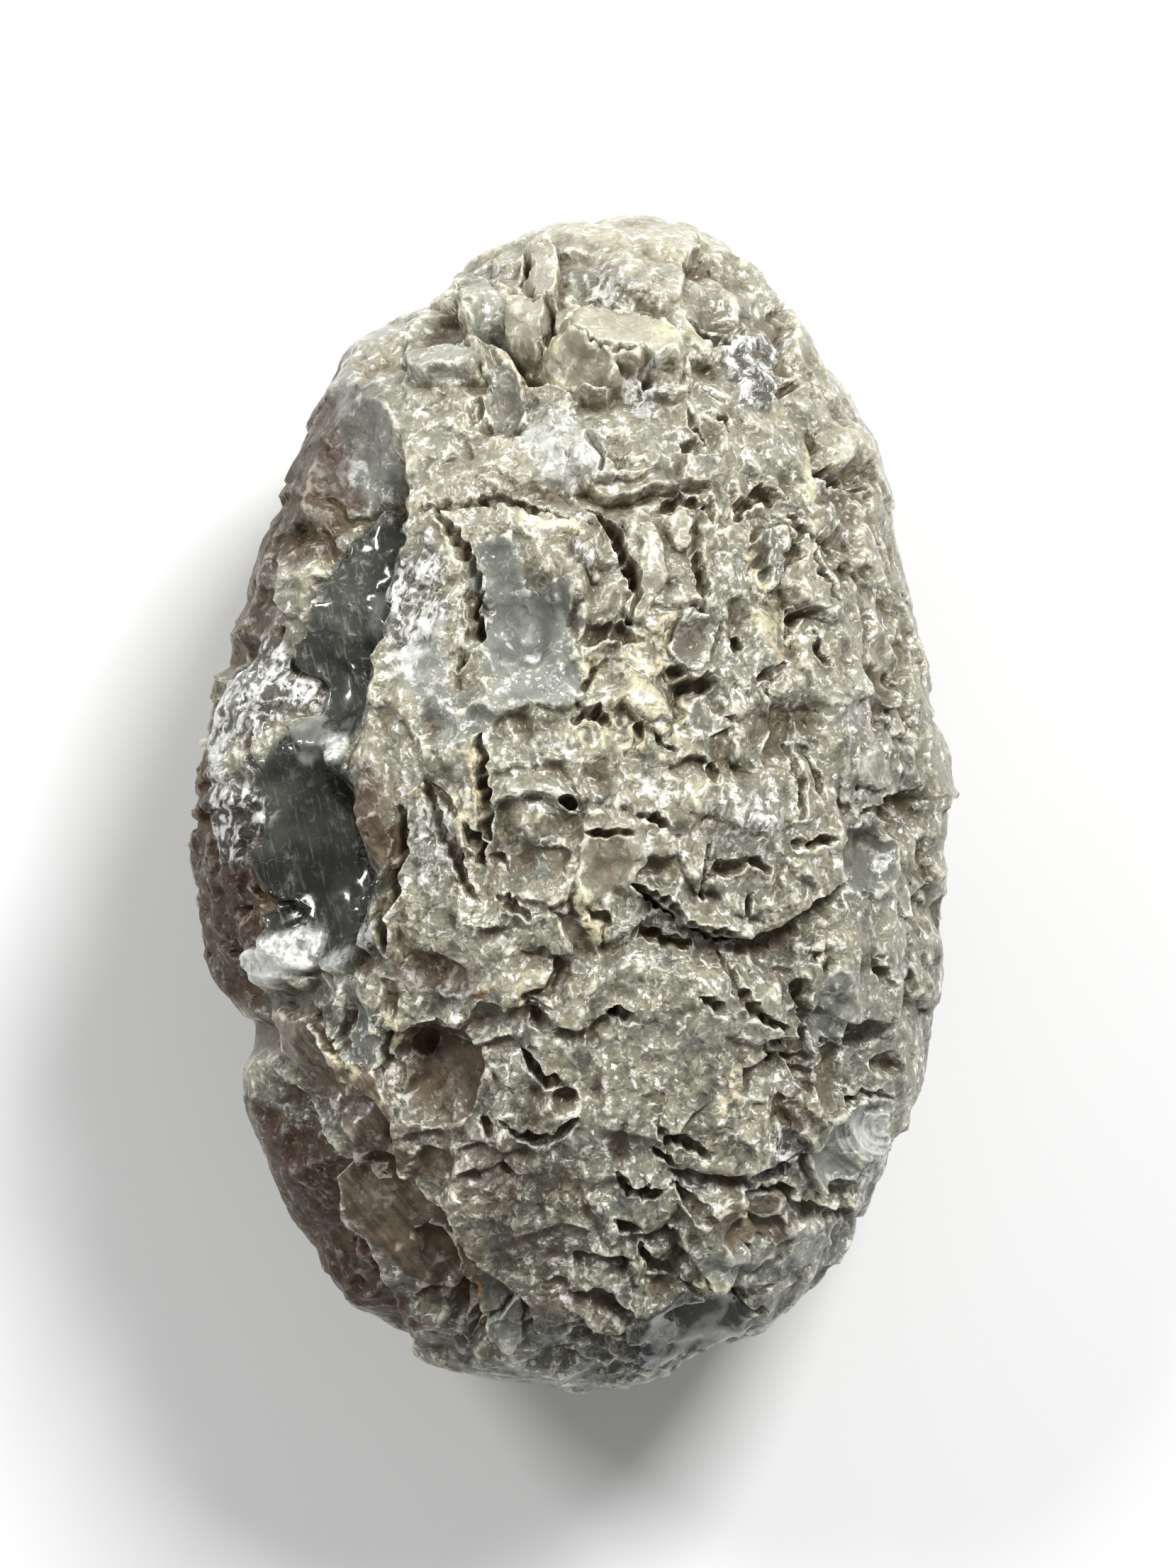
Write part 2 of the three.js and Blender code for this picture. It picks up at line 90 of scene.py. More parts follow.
def turned(x: Values, y: Values, angle: Values) -> tuple[Values, Values]:
    """Measure offsets in plan along axes that are turned anticlockwise by an angle in radians.

    Args:
        x: Offsets across.
        y: Offsets along.
        angle: How far the axes are turned.

    Returns:
        The offsets across and along the turned axes.
    """
    return x * np.cos(angle) + y * np.sin(angle), y * np.cos(angle) - x * np.sin(angle)


def lattice(cell: Points, seed: int) -> Values:
    """Give each whole-number grid point a fixed pseudo-random number.

    Args:
        cell: Grid points, one a row.
        seed: Which set of numbers to use.

    Returns:
        Numbers from 0 to 1.
    """
    whole = cell.astype(np.int64).astype(np.uint32)
    mixed = np.uint32((seed * SEED_FACTOR) % 2**WORD_BITS)
    for axis, factor in enumerate(AXIS_FACTORS):
        mixed = mixed ^ (whole[:, axis] * factor)
    for shift, factor in STIRS:
        mixed = (mixed ^ (mixed >> shift)) * factor
    return (mixed ^ (mixed >> LAST_SHIFT)) / 2.0**WORD_BITS


def noise(points: Points, size: float, seed: int) -> Values:
    """Smooth noise with forms about one size across.

    Args:
        points: Where to read it, in mm.
        size: The size of its forms, in mm.
        seed: Which noise to use.

    Returns:
        Numbers from -1 to 1.
    """
    at = points / size
    cell = np.floor(at)
    part = at - cell
    ease = part**3 * (part * (part * 6.0 - 15.0) + 10.0)
    total = np.zeros(len(points))
    for corner in product((0, 1), repeat=3):
        weight = np.where(corner, ease, 1.0 - ease).prod(axis=1)
        total += weight * lattice(cell + corner, seed)
    return 2.0 * total - 1.0


@dataclass(frozen=True)
class Cloud:
    """One smooth noise: the size of its forms in mm, and its seed."""

    size: float
    seed: int

    def at(self, points: Points) -> Values:
        """Give its numbers, from -1 to 1."""
        return noise(points, self.size, self.seed)


@dataclass(frozen=True)
class Wander:
    """A smooth push on points, which gives what is read there ragged outlines. Sizes are in mm."""

    amount: float
    size: float
    seed: int

    def push(self, points: Points) -> Points:
        """Give the push on each point."""
        pushes = [noise(points, self.size, self.seed + axis) for axis in range(3)]
        return self.amount * np.stack(pushes, axis=1)


@dataclass
class Neighbour:
    """The scattered point nearest to each point, or the second nearest."""

    gap: Values
    offset: Points
    cell: Points


def scatter(points: Points, size: Triple, seed: int) -> tuple[Neighbour, Neighbour]:
    """Find the two nearest of the points that are scattered one to a cell, clear of its walls.

    Args:
        points: Where to look from, in mm.
        size: The cell's size along X, Y and Z, in mm.
        seed: Which scatter to use.

    Returns:
        The nearest and the second nearest, with gaps in cells and offsets in mm.
    """
    scale = np.array(size)
    at = points / scale
    base = np.floor(at - 0.5)
    near = Neighbour(np.full(len(at), np.inf), np.zeros_like(at), np.zeros_like(at))
    far = Neighbour(near.gap.copy(), near.offset.copy(), near.cell.copy())
    for step in product((0, 1), repeat=3):
        cell = base + step
        jitter = np.stack([lattice(cell, seed + axis) for axis in range(3)], axis=1)
        offset = at - cell - CELL_MARGIN - (1.0 - 2.0 * CELL_MARGIN) * jitter
        gap = np.sqrt((offset**2).sum(axis=1))
        second = (gap >= near.gap) & (gap < far.gap)
        first = gap < near.gap
        for name, value in (("gap", gap), ("offset", offset), ("cell", cell)):
            kept, pushed = getattr(near, name), getattr(far, name)
            pushed[second] = value[second]
            pushed[first] = kept[first]
            kept[first] = value[first]
    near.offset *= scale
    far.offset *= scale
    return near, far


# ---- Marks on the stone ------------------------------------------------------------------------------------


@dataclass(frozen=True)
class Oval:
    """An oval place in plan: its centre and half sizes in mm, and its turn anticlockwise in degrees."""

    x: float
    y: float
    across: float
    along: float
    turn: float = 0.0

    def measure(self, x: Values, y: Values) -> tuple[Values, Values]:
        """Measure places from its centre along its own axes, in its half sizes."""
        across, along = turned(x - self.x, y - self.y, math.radians(self.turn))
        return across / self.across, along / self.along

    def depth_in(self, x: Values, y: Values) -> Values:
        """Say how deep inside the oval each place is, 1 at its centre and 0 at its edge and past it."""
        across, along = self.measure(x, y)
        return np.maximum(0.0, 1.0 - across**2 - along**2)


@dataclass(frozen=True)
class Scoop:
    """An oval hollow, or a lump where rise is positive. Under 1, steep makes its walls steeper."""

    oval: Oval
    rise: float
    steep: float = 1.0

    def rise_at(self, x: Values, y: Values) -> Values:
        """Give the mark's height at each place in plan."""
        return self.rise * self.oval.depth_in(x, y) ** self.steep


@dataclass(frozen=True)
class Line:
    """A line in plan through a few points, in mm."""

    points: tuple[tuple[float, float], ...]

    def inside(self, x: Values, y: Values, reach: float) -> Values:
        """Say which places may lie within reach of the line.

        Args:
            x: Places across, in mm.
            y: Places along, in mm.
            reach: How far from the line, in mm.

        Returns:
            True for the places in the line's box, widened by reach.
        """
        line = np.array(self.points)
        low, high = line.min(axis=0) - reach, line.max(axis=0) + reach
        return (x > low[0]) & (x < high[0]) & (y > low[1]) & (y < high[1])

    def near(self, x: Values, y: Values) -> tuple[Values, Values, Values]:
        """Measure places against the line.

        Args:
            x: Places across, in mm.
            y: Places along, in mm.

        Returns:
            Their distance in mm, the side they are on (right is over 0), and how far along the line, 0 to 1.
        """
        line = np.array(self.points)
        gap = np.full(len(x), np.inf)
        side = np.zeros(len(x))
        share = np.zeros(len(x))
        for number, (start, end) in enumerate(zip(line[:-1], line[1:])):
            run = end - start
            off_x, off_y = x - start[0], y - start[1]
            part = np.clip((off_x * run[0] + off_y * run[1]) / (run @ run), 0.0, 1.0)
            away = np.hypot(off_x - part * run[0], off_y - part * run[1])
            closer = away < gap
            gap[closer] = away[closer]
            side[closer] = (off_x * run[1] - off_y * run[0])[closer]
            share[closer] = ((number + part) / (len(line) - 1))[closer]
        return gap, side, share


@dataclass(frozen=True)
class Ledge:
    """A line in plan where the surface drops to the right, and climbs back within its reach."""

    drop: float
    reach: float
    line: Line
    wall: float = 0.28
    fade: float = 0.12

    def rise_at(self, x: Values, y: Values) -> Values:
        """Give the ledge's height at each place in plan, in mm, 0 or less.

        Args:
            x: Places across, in mm.
            y: Places along, in mm.

        Returns:
            Heights in mm.
        """
        rise = np.zeros(len(x))
        inside = self.line.inside(x, y, self.reach)
        gap, side, share = self.line.near(x[inside], y[inside])
        ends = smoothstep(0.0, self.fade, share) * smoothstep(1.0, 1.0 - self.fade, share)
        fall = smoothstep(0.0, self.wall, gap) * (1.0 - smoothstep(self.wall, self.reach, gap))
        rise[inside] = np.where(side > 0.0, -self.drop * ends * fall, 0.0)
        return rise


@dataclass(frozen=True)
class Groove:
    """A round-bottomed groove along a line in plan. Its depth, half width and lips are in mm.

    Evenness is the usual share of its depth, and uneven is how much its size varies, by waves that each have
    a share and their rates across and along. Stub and taper say how bluntly its ends close.
    """

    depth: float
    half_width: float
    line: Line
    lip: float = 0.1
    lip_width: float = 0.17
    uneven: float = 0.4
    evenness: float = 0.85
    stub: float = 0.08
    taper: float = 0.6
    waves: tuple[Triple, ...] = ((0.6, 2.9, 1.7), (0.4, 6.7, -4.9))

    def rise_at(self, x: Values, y: Values) -> Values:
        """Give the groove's height at each place in plan, in mm.

        Args:
            x: Places across, in mm.
            y: Places along, in mm.

        Returns:
            Heights in mm.
        """
        rise = np.zeros(len(x))
        inside = self.line.inside(x, y, 2.0 * self.half_width + self.lip_width)
        gap, _, share = self.line.near(x[inside], y[inside])
        swell = np.sin(math.pi * mix(self.stub, 1.0 - self.stub, share)) ** self.taper
        x, y = x[inside], y[inside]
        wave = sum(part * np.sin(over_x * x + over_y * y) for part, over_x, over_y in self.waves)
        width = self.half_width * swell * (1.0 + self.uneven * wave)
        depth = self.depth * swell * (self.evenness + self.uneven * wave)
        lips = self.lip * swell * np.exp(-(((gap - width) / self.lip_width) ** 2))
        rise[inside] = lips - depth * np.sqrt(np.maximum(0.0, 1.0 - (gap / width) ** 2))
        return rise


@dataclass(frozen=True)
class Block:
    """A broken block with a flat tilted top, straight walls, and a slope to the right and along in mm a mm.

    The lower its corner, the less is cut off its corners.
    """

    oval: Oval
    rise: float
    slope: tuple[float, float]
    wall: float = 0.3
    corner: float = 0.62

    def rise_at(self, x: Values, y: Values) -> Values:
        """Give the block's height at each place in plan, in mm.

        Args:
            x: Places across, in mm.
            y: Places along, in mm.

        Returns:
            Heights in mm.
        """
        across, along = np.abs(self.oval.measure(x, y))
        outward = np.maximum(np.maximum(across, along), self.corner * (across + along))
        top = self.rise + self.slope[0] * (x - self.oval.x) + self.slope[1] * (y - self.oval.y)
        return smoothstep(0.0, self.wall, 1.0 - outward) * top


class Finish(Enum):
    """The finishes that cover parts of the stone: their names, and how deep inside a patch each is full."""

    GLASS = ("glass", 0.2)
    HAZE = ("haze", 0.22)
    # Frost patches carry crumpled bumps, with pale streaks that are painted highlights.
    FROST = ("frost", 0.5)
    CREAM = ("cream", 0.45)
    # Brown patches are partly the stone's own brown and partly painted shade.
    BROWN = ("brown", 0.5)
    RUST = ("rust", 0.6)
    SHEET = ("sheet", 0.25)
    # Flare patches carry painted highlights and smooth the relief.
    FLARE = ("flare", 0.6)
    WAX = ("wax", 0.35)

    @property
    def attribute(self) -> str:
        """Name the mesh attribute that carries it."""
        return self.value[0]

    @property
    def full_at(self) -> float:
        """Say how deep inside a patch it is full."""
        return self.value[1]


@dataclass(frozen=True)
class Patch:
    """A place that has one of the finishes, and how strongly."""

    finish: Finish
    oval: Oval
    strength: float


@dataclass(frozen=True)
class Region:
    """One part of the stone's face, with the marks and finishes that lie there."""

    name: str
    marks: tuple[Scoop | Ledge | Groove | Block, ...]
    patches: tuple[Patch, ...]


OVAL_NUMBERS = 5


def scoops(*rows: tuple[float, ...]) -> tuple[Scoop, ...]:
    """Make scoops from rows of x, y, across, along, turn, rise and, where its walls are steeper, steep."""
    return tuple(Scoop(Oval(*row[:OVAL_NUMBERS]), *row[OVAL_NUMBERS:]) for row in rows)


def ledges(*rows: tuple) -> tuple[Ledge, ...]:
    """Make ledges from rows of drop, reach and the line's points."""
    return tuple(Ledge(drop, reach, Line(tuple(points))) for drop, reach, *points in rows)


def grooves(*rows: tuple) -> tuple[Groove, ...]:
    """Make grooves from rows of depth, half width and the line's points."""
    return tuple(Groove(depth, half_width, Line(tuple(points))) for depth, half_width, *points in rows)


def blocks(*rows: tuple) -> tuple[Block, ...]:
    """Make blocks from rows of x, y, across, along, turn, rise and slope."""
    return tuple(Block(Oval(*row[:OVAL_NUMBERS]), *row[OVAL_NUMBERS:]) for row in rows)


def patches(finish: Finish, *rows: tuple[float, ...]) -> tuple[Patch, ...]:
    """Make patches of one finish from rows of x, y, across, along, turn and strength."""
    return tuple(Patch(finish, Oval(*row[:OVAL_NUMBERS]), row[OVAL_NUMBERS]) for row in rows)


VALLEY = Region(
    "glassy valley",
    scoops(
        (-12.2, 16.2, 2.9, 6.6, -6, -2.6),
        (-13.8, 7.0, 2.7, 4.8, -10, -2.6),
        (-14.4, -2.6, 3.5, 6.3, 6, -3.7),
        (-21.0, 0.6, 0.9, 1.0, 0, -1.0),
        (-19.6, 8.7, 1.6, 1.3, 30, -1.5),
        (-18.3, -12.7, 1.8, 1.4, 0, -1.5),
        (-14.9, 4.2, 1.1, 1.0, 0, 0.6),
        (-13.3, 3.1, 0.9, 1.5, 25, 0.7),
        (-18.6, 4.2, 0.9, 1.6, -20, -0.5),
        (-19.0, 2.1, 1.1, 0.6, 0, 0.4),
        (-17.0, -7.9, 2.1, 2.9, 25, 1.7),
        (-18.6, 3.6, 1.9, 6.2, -8, 0.9),
        (-10.9, 0.8, 1.1, 4.4, 4, 1.6),
        (-10.4, -5.6, 0.9, 2.8, -8, 1.2),
        (-11.6, -6.8, 0.7, 1.5, 0, 0.8),
        (-17.9, -16.6, 2.0, 3.4, 0, 0.9),
    )
    + ledges(
        (2.2, 2.6, (-9.8, 20.5), (-9.6, 17.0), (-9.9, 13.6), (-10.8, 10.4), (-12.2, 7.4)),
        (2.3, 2.4, (-13.8, 3.2), (-12.7, 1.0), (-12.0, -0.6), (-12.2, -2.4), (-11.4, -5.0), (-11.8, -7.6)),
    )
    + grooves(
        (2.2, 0.5, (-10.5, 11.2), (-11.2, 9.4), (-12.2, 7.7)),
        (1.4, 0.45, (-9.6, 0.3), (-9.5, -1.6), (-9.7, -3.2), (-10.2, -5.5), (-10.6, -7.7)),
        (1.4, 0.5, (-11.8, -2.2), (-11.4, -3.4), (-11.2, -4.8)),
        (1.0, 0.4, (-18.1, -4.2), (-16.6, -5.6), (-15.4, -7.8)),
        (0.7, 0.35, (-17.6, 6.0), (-17.8, 4.2), (-17.2, 2.0)),
        (0.8, 0.4, (-19.2, -5.2), (-18.6, -6.0), (-18.9, -7.4)),
    ),
    patches(
        Finish.HAZE,
        (-12.9, 20.8, 3.2, 3.8, -8, 0.9),
        (-14.9, 4.2, 1.0, 1.1, 0, 1.0),
        (-8.0, 7.6, 1.7, 2.6, 0, 0.75),
    )
    + patches(
        Finish.GLASS,
        (-12.8, 10.2, 2.9, 7.4, -12, 1.0),
        (-14.4, -2.8, 3.7, 7.0, 6, 1.0),
        (-8.0, 7.6, 1.5, 2.4, 0, 0.4),
        (-11.3, 15.4, 1.3, 2.4, -15, 0.8),
        (-13.4, 6.2, 1.4, 2.6, 0, 1.0),
    )
    + patches(
        Finish.FLARE,
        (-12.2, 11.4, 0.7, 1.6, -20, 0.4),
        (-19.0, 2.3, 0.9, 0.45, 0, 1.0),
        (-13.5, 3.2, 0.75, 1.3, 25, 0.9),
        (-16.9, -8.4, 1.9, 1.7, 0, 1.0),
        (-14.0, -8.9, 1.0, 0.8, 0, 0.7),
    )
    + patches(
        Finish.FROST,
        (-18.0, 6.0, 2.2, 4.0, -8, 1.0),
        (-19.0, 0.0, 1.8, 3.4, 0, 1.0),
        (-11.6, -6.8, 0.9, 1.8, 0, 1.0),
        (-8.6, 12.4, 2.2, 4.2, 0, 0.8),
        (-7.6, -1.8, 2.0, 3.2, 0, 0.45),
    )
    + patches(Finish.SHEET, (-11.0, -0.4, 1.3, 2.6, 0, 0.9))
    + patches(
        Finish.BROWN,
        (-20.6, -5.0, 4.0, 9.0, 0, 1.0),
        (-17.3, -5.8, 1.1, 1.8, 0, 0.6),
        (-10.9, -0.6, 1.4, 4.6, 4, 0.7),
        (-19.2, 11.0, 2.3, 3.6, 20, 0.8),
    ),
)

STEPS = Region(
    "diagonal steps at the lower left",
    scoops(
        (-7.7, -14.7, 2.8, 3.1, 0, -1.8, 0.6),
        (-8.9, -13.3, 0.8, 0.75, 0, -1.1, 0.6),
        (-5.0, -17.6, 0.4, 0.6, 0, -0.8, 0.5),
        (-12.3, -12.0, 0.9, 2.6, 8, -0.8),
        (-8.0, -28.2, 1.6, 1.3, 20, 0.7),
        (-7.6, -8.9, 2.2, 1.2, -10, -0.8),
    )
    + ledges(
        (
            2.9, 5.4, (-15.2, -11.5), (-13.4, -14.8), (-11.4, -15.8), (-10.1, -17.3), (-9.8, -19.8),
            (-8.5, -21.3), (-7.0, -22.1), (-6.5, -23.6), (-5.4, -25.3), (-4.2, -26.3), (-2.4, -27.6),
            (-1.6, -30.5),
        ),
        (
            2.3, 3.4, (-17.6, -13.4), (-16.2, -15.8), (-14.8, -18.2), (-13.0, -19.8), (-13.8, -20.5),
            (-13.2, -22.6), (-11.7, -24.1), (-10.2, -26.6), (-9.3, -29.0), (-8.6, -31.2),
        ),
        (0.9, 2.2, (-12.8, -19.5), (-11.6, -19.6), (-10.6, -20.2), (-9.8, -20.2)),
        (0.8, 1.6, (-9.7, -24.0), (-9.0, -23.6), (-8.2, -24.2), (-7.4, -25.6), (-6.8, -27.0)),
        (0.9, 1.8, (-6.9, -26.9), (-6.0, -27.6), (-5.4, -28.8), (-4.6, -30.2)),
        (0.7, 1.4, (-9.4, -27.2), (-8.4, -26.9), (-6.6, -27.4), (-6.2, -28.8)),
        (1.0, 1.8, (-14.2, -23.6), (-13.0, -23.4), (-12.2, -25.6), (-11.4, -27.4)),
    )
    + grooves(
        (0.8, 0.35, (-13.3, -10.6), (-13.2, -12.4), (-12.4, -13.8)),
        (0.9, 0.35, (-14.9, -11.6), (-14.3, -12.6), (-13.2, -13.6)),
    ),
    # The bowl's sheet, brown and glass patches, and several brown patches on the lower left, are painted
    # shade.
    patches(
        Finish.HAZE,
        (-12.3, -12.0, 1.0, 2.8, 8, 0.9),
        (-4.4, -28.2, 1.3, 2.6, 38, 0.8),
    )
    + patches(
        Finish.SHEET,
        (-13.3, -15.8, 2.1, 5.8, 40, 1.0),
        (-9.8, -23.4, 2.3, 5.6, 40, 1.0),
        (-7.4, -14.8, 2.7, 2.8, 0, 0.4),
    )
    + patches(
        Finish.BROWN,
        (-7.9, -14.0, 2.9, 2.9, 0, 0.85),
        (-17.0, -22.5, 3.4, 12.0, 26, 1.0),
        (-10.5, -26.5, 3.0, 8.0, 38, 0.35),
        (-7.0, -22.5, 9.0, 9.5, 0, 0.22),
        (-14.6, -25.2, 2.4, 5.0, 34, 1.0),
        (-11.6, -28.6, 3.0, 2.0, 0, 1.0),
        (-4.5, -20.5, 2.4, 3.0, 0, 0.5),
        (-7.8, -9.0, 2.6, 1.8, -10, 0.7),
    )
    # Painted shade in the bowl.
    + patches(Finish.GLASS, (-7.6, -14.6, 2.7, 2.9, 0, 0.25))
    + patches(Finish.FROST, (-7.4, -9.6, 2.2, 1.2, -10, 0.35))
    + patches(
        Finish.CREAM,
        (-13.3, -13.9, 0.5, 1.4, 38, 0.9),
        (-10.3, -12.9, 0.6, 1.2, -10, 0.7),
    )
    + patches(
        Finish.RUST,
        (-5.9, -28.5, 0.4, 1.4, 25, 0.9),
        (-5.0, -10.0, 0.5, 0.8, 0, 0.8),
    ),
)

CENTRE = Region(
    "centre of the face",
    scoops(
        (-3.5, 11.6, 2.6, 4.2, 15, -1.3),
        (-2.2, 8.8, 3.8, 3.2, -35, -1.1),
        (-6.0, 6.6, 1.4, 1.1, 30, -0.6),
        (-7.5, 4.6, 1.2, 1.2, 0, -0.6),
        (-5.3, 5.0, 1.0, 0.9, 0, -0.5),
        (1.5, 12.9, 2.2, 2.8, 0, 1.0, 0.8),
        (-1.5, 10.6, 2.3, 2.7, 0, -0.8),
        (-0.45, 0.55, 0.5, 0.5, 0, -1.4, 0.4),
        (2.0, -3.3, 1.5, 2.5, 6, -0.9),
        (1.0, -5.6, 0.7, 2.2, 18, 0.6),
        (0.6, 7.6, 1.0, 1.1, 0, -0.7),
        (-3.2, -2.8, 1.6, 2.0, 0, -0.5),
        (-0.4, -15.9, 0.9, 0.8, 0, -1.0),
        (-2.0, -11.7, 0.6, 0.5, 0, -0.8, 0.6),
    )
    + ledges(
        (0.9, 1.5, (-3.2, -10.4), (-1.6, -9.6), (-0.9, -8.0)),
        (0.8, 1.4, (-0.8, -11.4), (0.9, -11.9), (1.6, -11.2), (2.7, -10.7)),
    )
    + grooves(
        (1.3, 0.5, (-7.6, 16.6), (-6.4, 14.5), (-5.6, 12.5), (-5.4, 10.2), (-5.7, 9.0), (-6.5, 7.8)),
        (0.8, 0.35, (-8.6, 16.6), (-6.0, 16.9), (-4.2, 17.2), (-2.4, 16.9), (-0.6, 16.1)),
        (1.2, 0.4, (1.0, 16.4), (2.5, 15.6), (3.4, 13.7), (3.8, 12.0), (3.5, 10.4)),
        (1.7, 0.42, (-5.2, 4.1), (-5.1, 2.2), (-4.9, 0.4), (-5.0, -1.4)),
        (1.5, 0.5, (-6.0, -0.9), (-5.6, -1.8), (-5.2, -2.9)),
        (0.9, 0.45, (-8.3, 1.6), (-7.7, -1.0), (-7.0, -2.2), (-6.3, -3.5), (-5.3, -4.5)),
        (0.8, 0.4, (-4.0, -4.7), (-3.2, -5.2), (-2.1, -6.0)),
        (1.0, 0.32, (0.7, -1.2), (2.0, -1.1), (3.3, -1.2)),
        (0.9, 0.4, (3.7, -0.2), (4.6, -0.4), (5.5, -0.8)),
        (0.9, 0.4, (-0.1, 5.2), (1.3, 5.5), (2.4, 4.5)),
        (0.8, 0.5, (0.6, 9.4), (2.0, 9.9), (4.4, 9.5)),
        (0.8, 0.35, (4.3, 5.1), (3.6, 3.3)),
        (0.8, 0.3, (5.1, 4.9), (6.0, 3.3)),
        (0.7, 0.35, (1.0, -5.2), (1.6, -6.0), (1.9, -7.0)),
        (0.9, 0.35, (2.0, -11.0), (2.8, -11.1), (3.7, -11.5)),
        (1.3, 0.5, (-2.5, -13.5), (-1.6, -14.7), (-0.7, -14.9)),
        (0.9, 0.38, (-4.1, -17.1), (-2.5, -18.0), (-0.8, -18.0), (0.4, -16.9)),
    ),
    patches(
        Finish.HAZE,
        (-3.6, 11.9, 2.0, 3.4, 15, 1.0),
        (-2.2, 8.9, 3.5, 2.9, -35, 1.0),
        (-5.8, 5.4, 1.5, 2.8, -50, 0.9),
        (-1.5, 10.7, 2.2, 2.6, 0, 1.0),
    )
    + patches(
        Finish.WAX,
        (2.0, -2.6, 2.0, 3.2, 6, 0.9),
        (4.4, 13.2, 0.9, 2.9, 0, 0.8),
    )
    + patches(Finish.FROST, (0.2, 14.0, 1.2, 0.6, -30, 0.8))
    + patches(
        Finish.CREAM,
        (-1.3, 15.5, 1.4, 0.7, -20, 1.0),
        (-5.7, 1.6, 0.75, 2.8, 2, 1.0),
        (1.0, -5.4, 0.85, 2.0, 18, 1.0),
        (4.4, 6.6, 2.4, 4.6, -14, 0.45),
        (0.9, 7.8, 0.7, 1.2, 0, 0.7),
        (1.2, 4.4, 1.8, 1.0, 0, 0.4),
        (-2.4, -9.6, 0.9, 1.4, -30, 0.4),
    )
    + patches(
        Finish.FLARE,
        (-1.6, 15.7, 0.9, 0.5, -20, 0.6),
        (-2.3, 12.8, 0.5, 0.35, 0, 1.0),
        (-2.1, 8.4, 0.45, 0.4, 0, 1.0),
    ),
)

CROWN = Region(
    "stepped blocks at the top",
    scoops(
        (-4.2, 22.8, 1.5, 2.3, -4, -1.4, 0.8),
        (-5.7, 22.5, 0.4, 1.0, 0, -0.9, 0.6),
        (8.2, 27.1, 1.7, 1.0, -10, -1.8, 0.8),
        (8.0, 20.9, 1.1, 1.0, 0, -0.8),
        (16.2, 20.4, 1.6, 1.4, 0, 0.7),
    )
    + ledges(
        (2.0, 2.4, (2.4, 22.8), (1.0, 22.9), (-0.6, 23.5), (-2.4, 24.3), (-4.0, 25.6), (-6.2, 26.8)),
        (0.8, 1.8, (14.3, 17.4), (14.3, 18.6), (14.2, 19.4), (14.4, 20.4), (14.0, 21.8)),
    )
    + grooves(
        (1.1, 0.4, (-1.4, 28.2), (-1.2, 27.0), (-1.4, 26.1)),
        (1.0, 0.35, (0.1, 26.2), (1.4, 25.3), (2.4, 24.9), (3.4, 24.8)),
        (0.9, 0.35, (3.8, 25.0), (4.2, 23.9), (4.5, 23.2)),
        (0.9, 0.35, (6.6, 25.2), (6.3, 24.1), (6.4, 23.3)),
        (0.8, 0.35, (0.2, 28.6), (1.4, 28.4), (2.8, 28.2)),
        (0.8, 0.35, (-2.6, 31.4), (-2.5, 30.2), (-3.0, 29.8)),
        (0.8, 0.3, (3.0, 27.9), (4.2, 27.1), (5.6, 26.2)),
        (0.9, 0.35, (6.7, 22.2), (6.9, 21.2), (7.8, 20.4)),
        (0.6, 0.25, (7.8, 22.1), (9.0, 21.8), (9.2, 21.3)),
        (0.7, 0.35, (2.4, 19.5), (3.2, 19.2), (4.1, 18.6)),
        (0.7, 0.3, (1.2, 20.6), (1.6, 19.8), (1.9, 18.9)),
        (0.8, 0.4, (6.2, 20.2), (6.9, 20.0), (7.6, 19.7)),
        (0.8, 0.4, (12.5, 23.5), (12.9, 24.0), (13.6, 24.1)),
        (0.6, 0.3, (14.0, 24.0), (14.1, 23.2)),
        (1.2, 0.32, (14.2, 19.4), (15.4, 19.3), (16.4, 18.8), (17.4, 18.3)),
    )
    + blocks(
        (2.9, 26.0, 3.7, 1.8, -20, 1.2, (0.0, -0.35)),
        (0.6, 24.4, 2.6, 1.3, -35, 1.3, (0.1, -0.3)),
        (-2.5, 27.1, 1.4, 1.6, -10, 1.3, (-0.4, -0.1)),
        (-7.0, 25.3, 2.5, 1.3, 15, 1.0, (0.1, -0.4)),
        (-5.0, 28.3, 1.7, 1.6, 10, 1.0, (-0.25, -0.2)),
        (-1.6, 29.9, 1.0, 2.2, 8, 0.9, (0.5, 0.0)),
        (5.4, 23.6, 1.4, 1.0, -10, 0.7, (0.2, -0.2)),
        (4.2, 29.6, 2.6, 1.5, -25, 0.6, (0.0, -0.3)),
    ),
    patches(
        Finish.HAZE,
        (-4.2, 22.9, 1.4, 2.2, -4, 0.6),
        (-7.2, 25.1, 2.2, 1.1, 12, 0.8),
        (-5.0, 28.2, 1.5, 1.6, 0, 0.7),
    )
    + patches(
        Finish.WAX,
        (2.9, 25.8, 3.6, 1.9, -14, 0.9),
        (-0.3, 24.9, 1.5, 1.6, 20, 0.9),
        (1.8, 24.0, 1.7, 1.4, 0, 0.8),
        (-2.6, 27.0, 1.3, 1.5, -10, 1.0),
        (-1.7, 29.9, 0.9, 2.0, 8, 1.0),
    )
    + patches(
        Finish.FROST,
        (10.7, 24.8, 1.9, 3.2, 10, 1.0),
        (4.0, 22.8, 1.6, 1.0, 0, 0.7),
        (-0.4, 19.8, 3.8, 2.4, -20, 0.35),
        (1.6, 29.6, 2.4, 1.2, -20, 0.6),
    )
    + patches(Finish.FLARE, (-0.4, 19.6, 3.4, 2.2, -20, 0.4))
    + patches(
        Finish.CREAM,
        (-0.9, 25.0, 0.8, 1.4, 24, 0.5),
        (5.2, 25.8, 1.6, 0.8, -20, 0.4),
        (-3.6, 24.9, 1.4, 0.4, -40, 0.5),
    )
    + patches(Finish.RUST, (6.5, 27.9, 0.7, 0.5, 0, 0.8))
    + patches(
        Finish.BROWN,
        (-16.4, 18.4, 3.2, 6.5, -22, 0.9),
        (-12.6, 22.2, 2.2, 3.4, -20, 0.2),
    ),
)

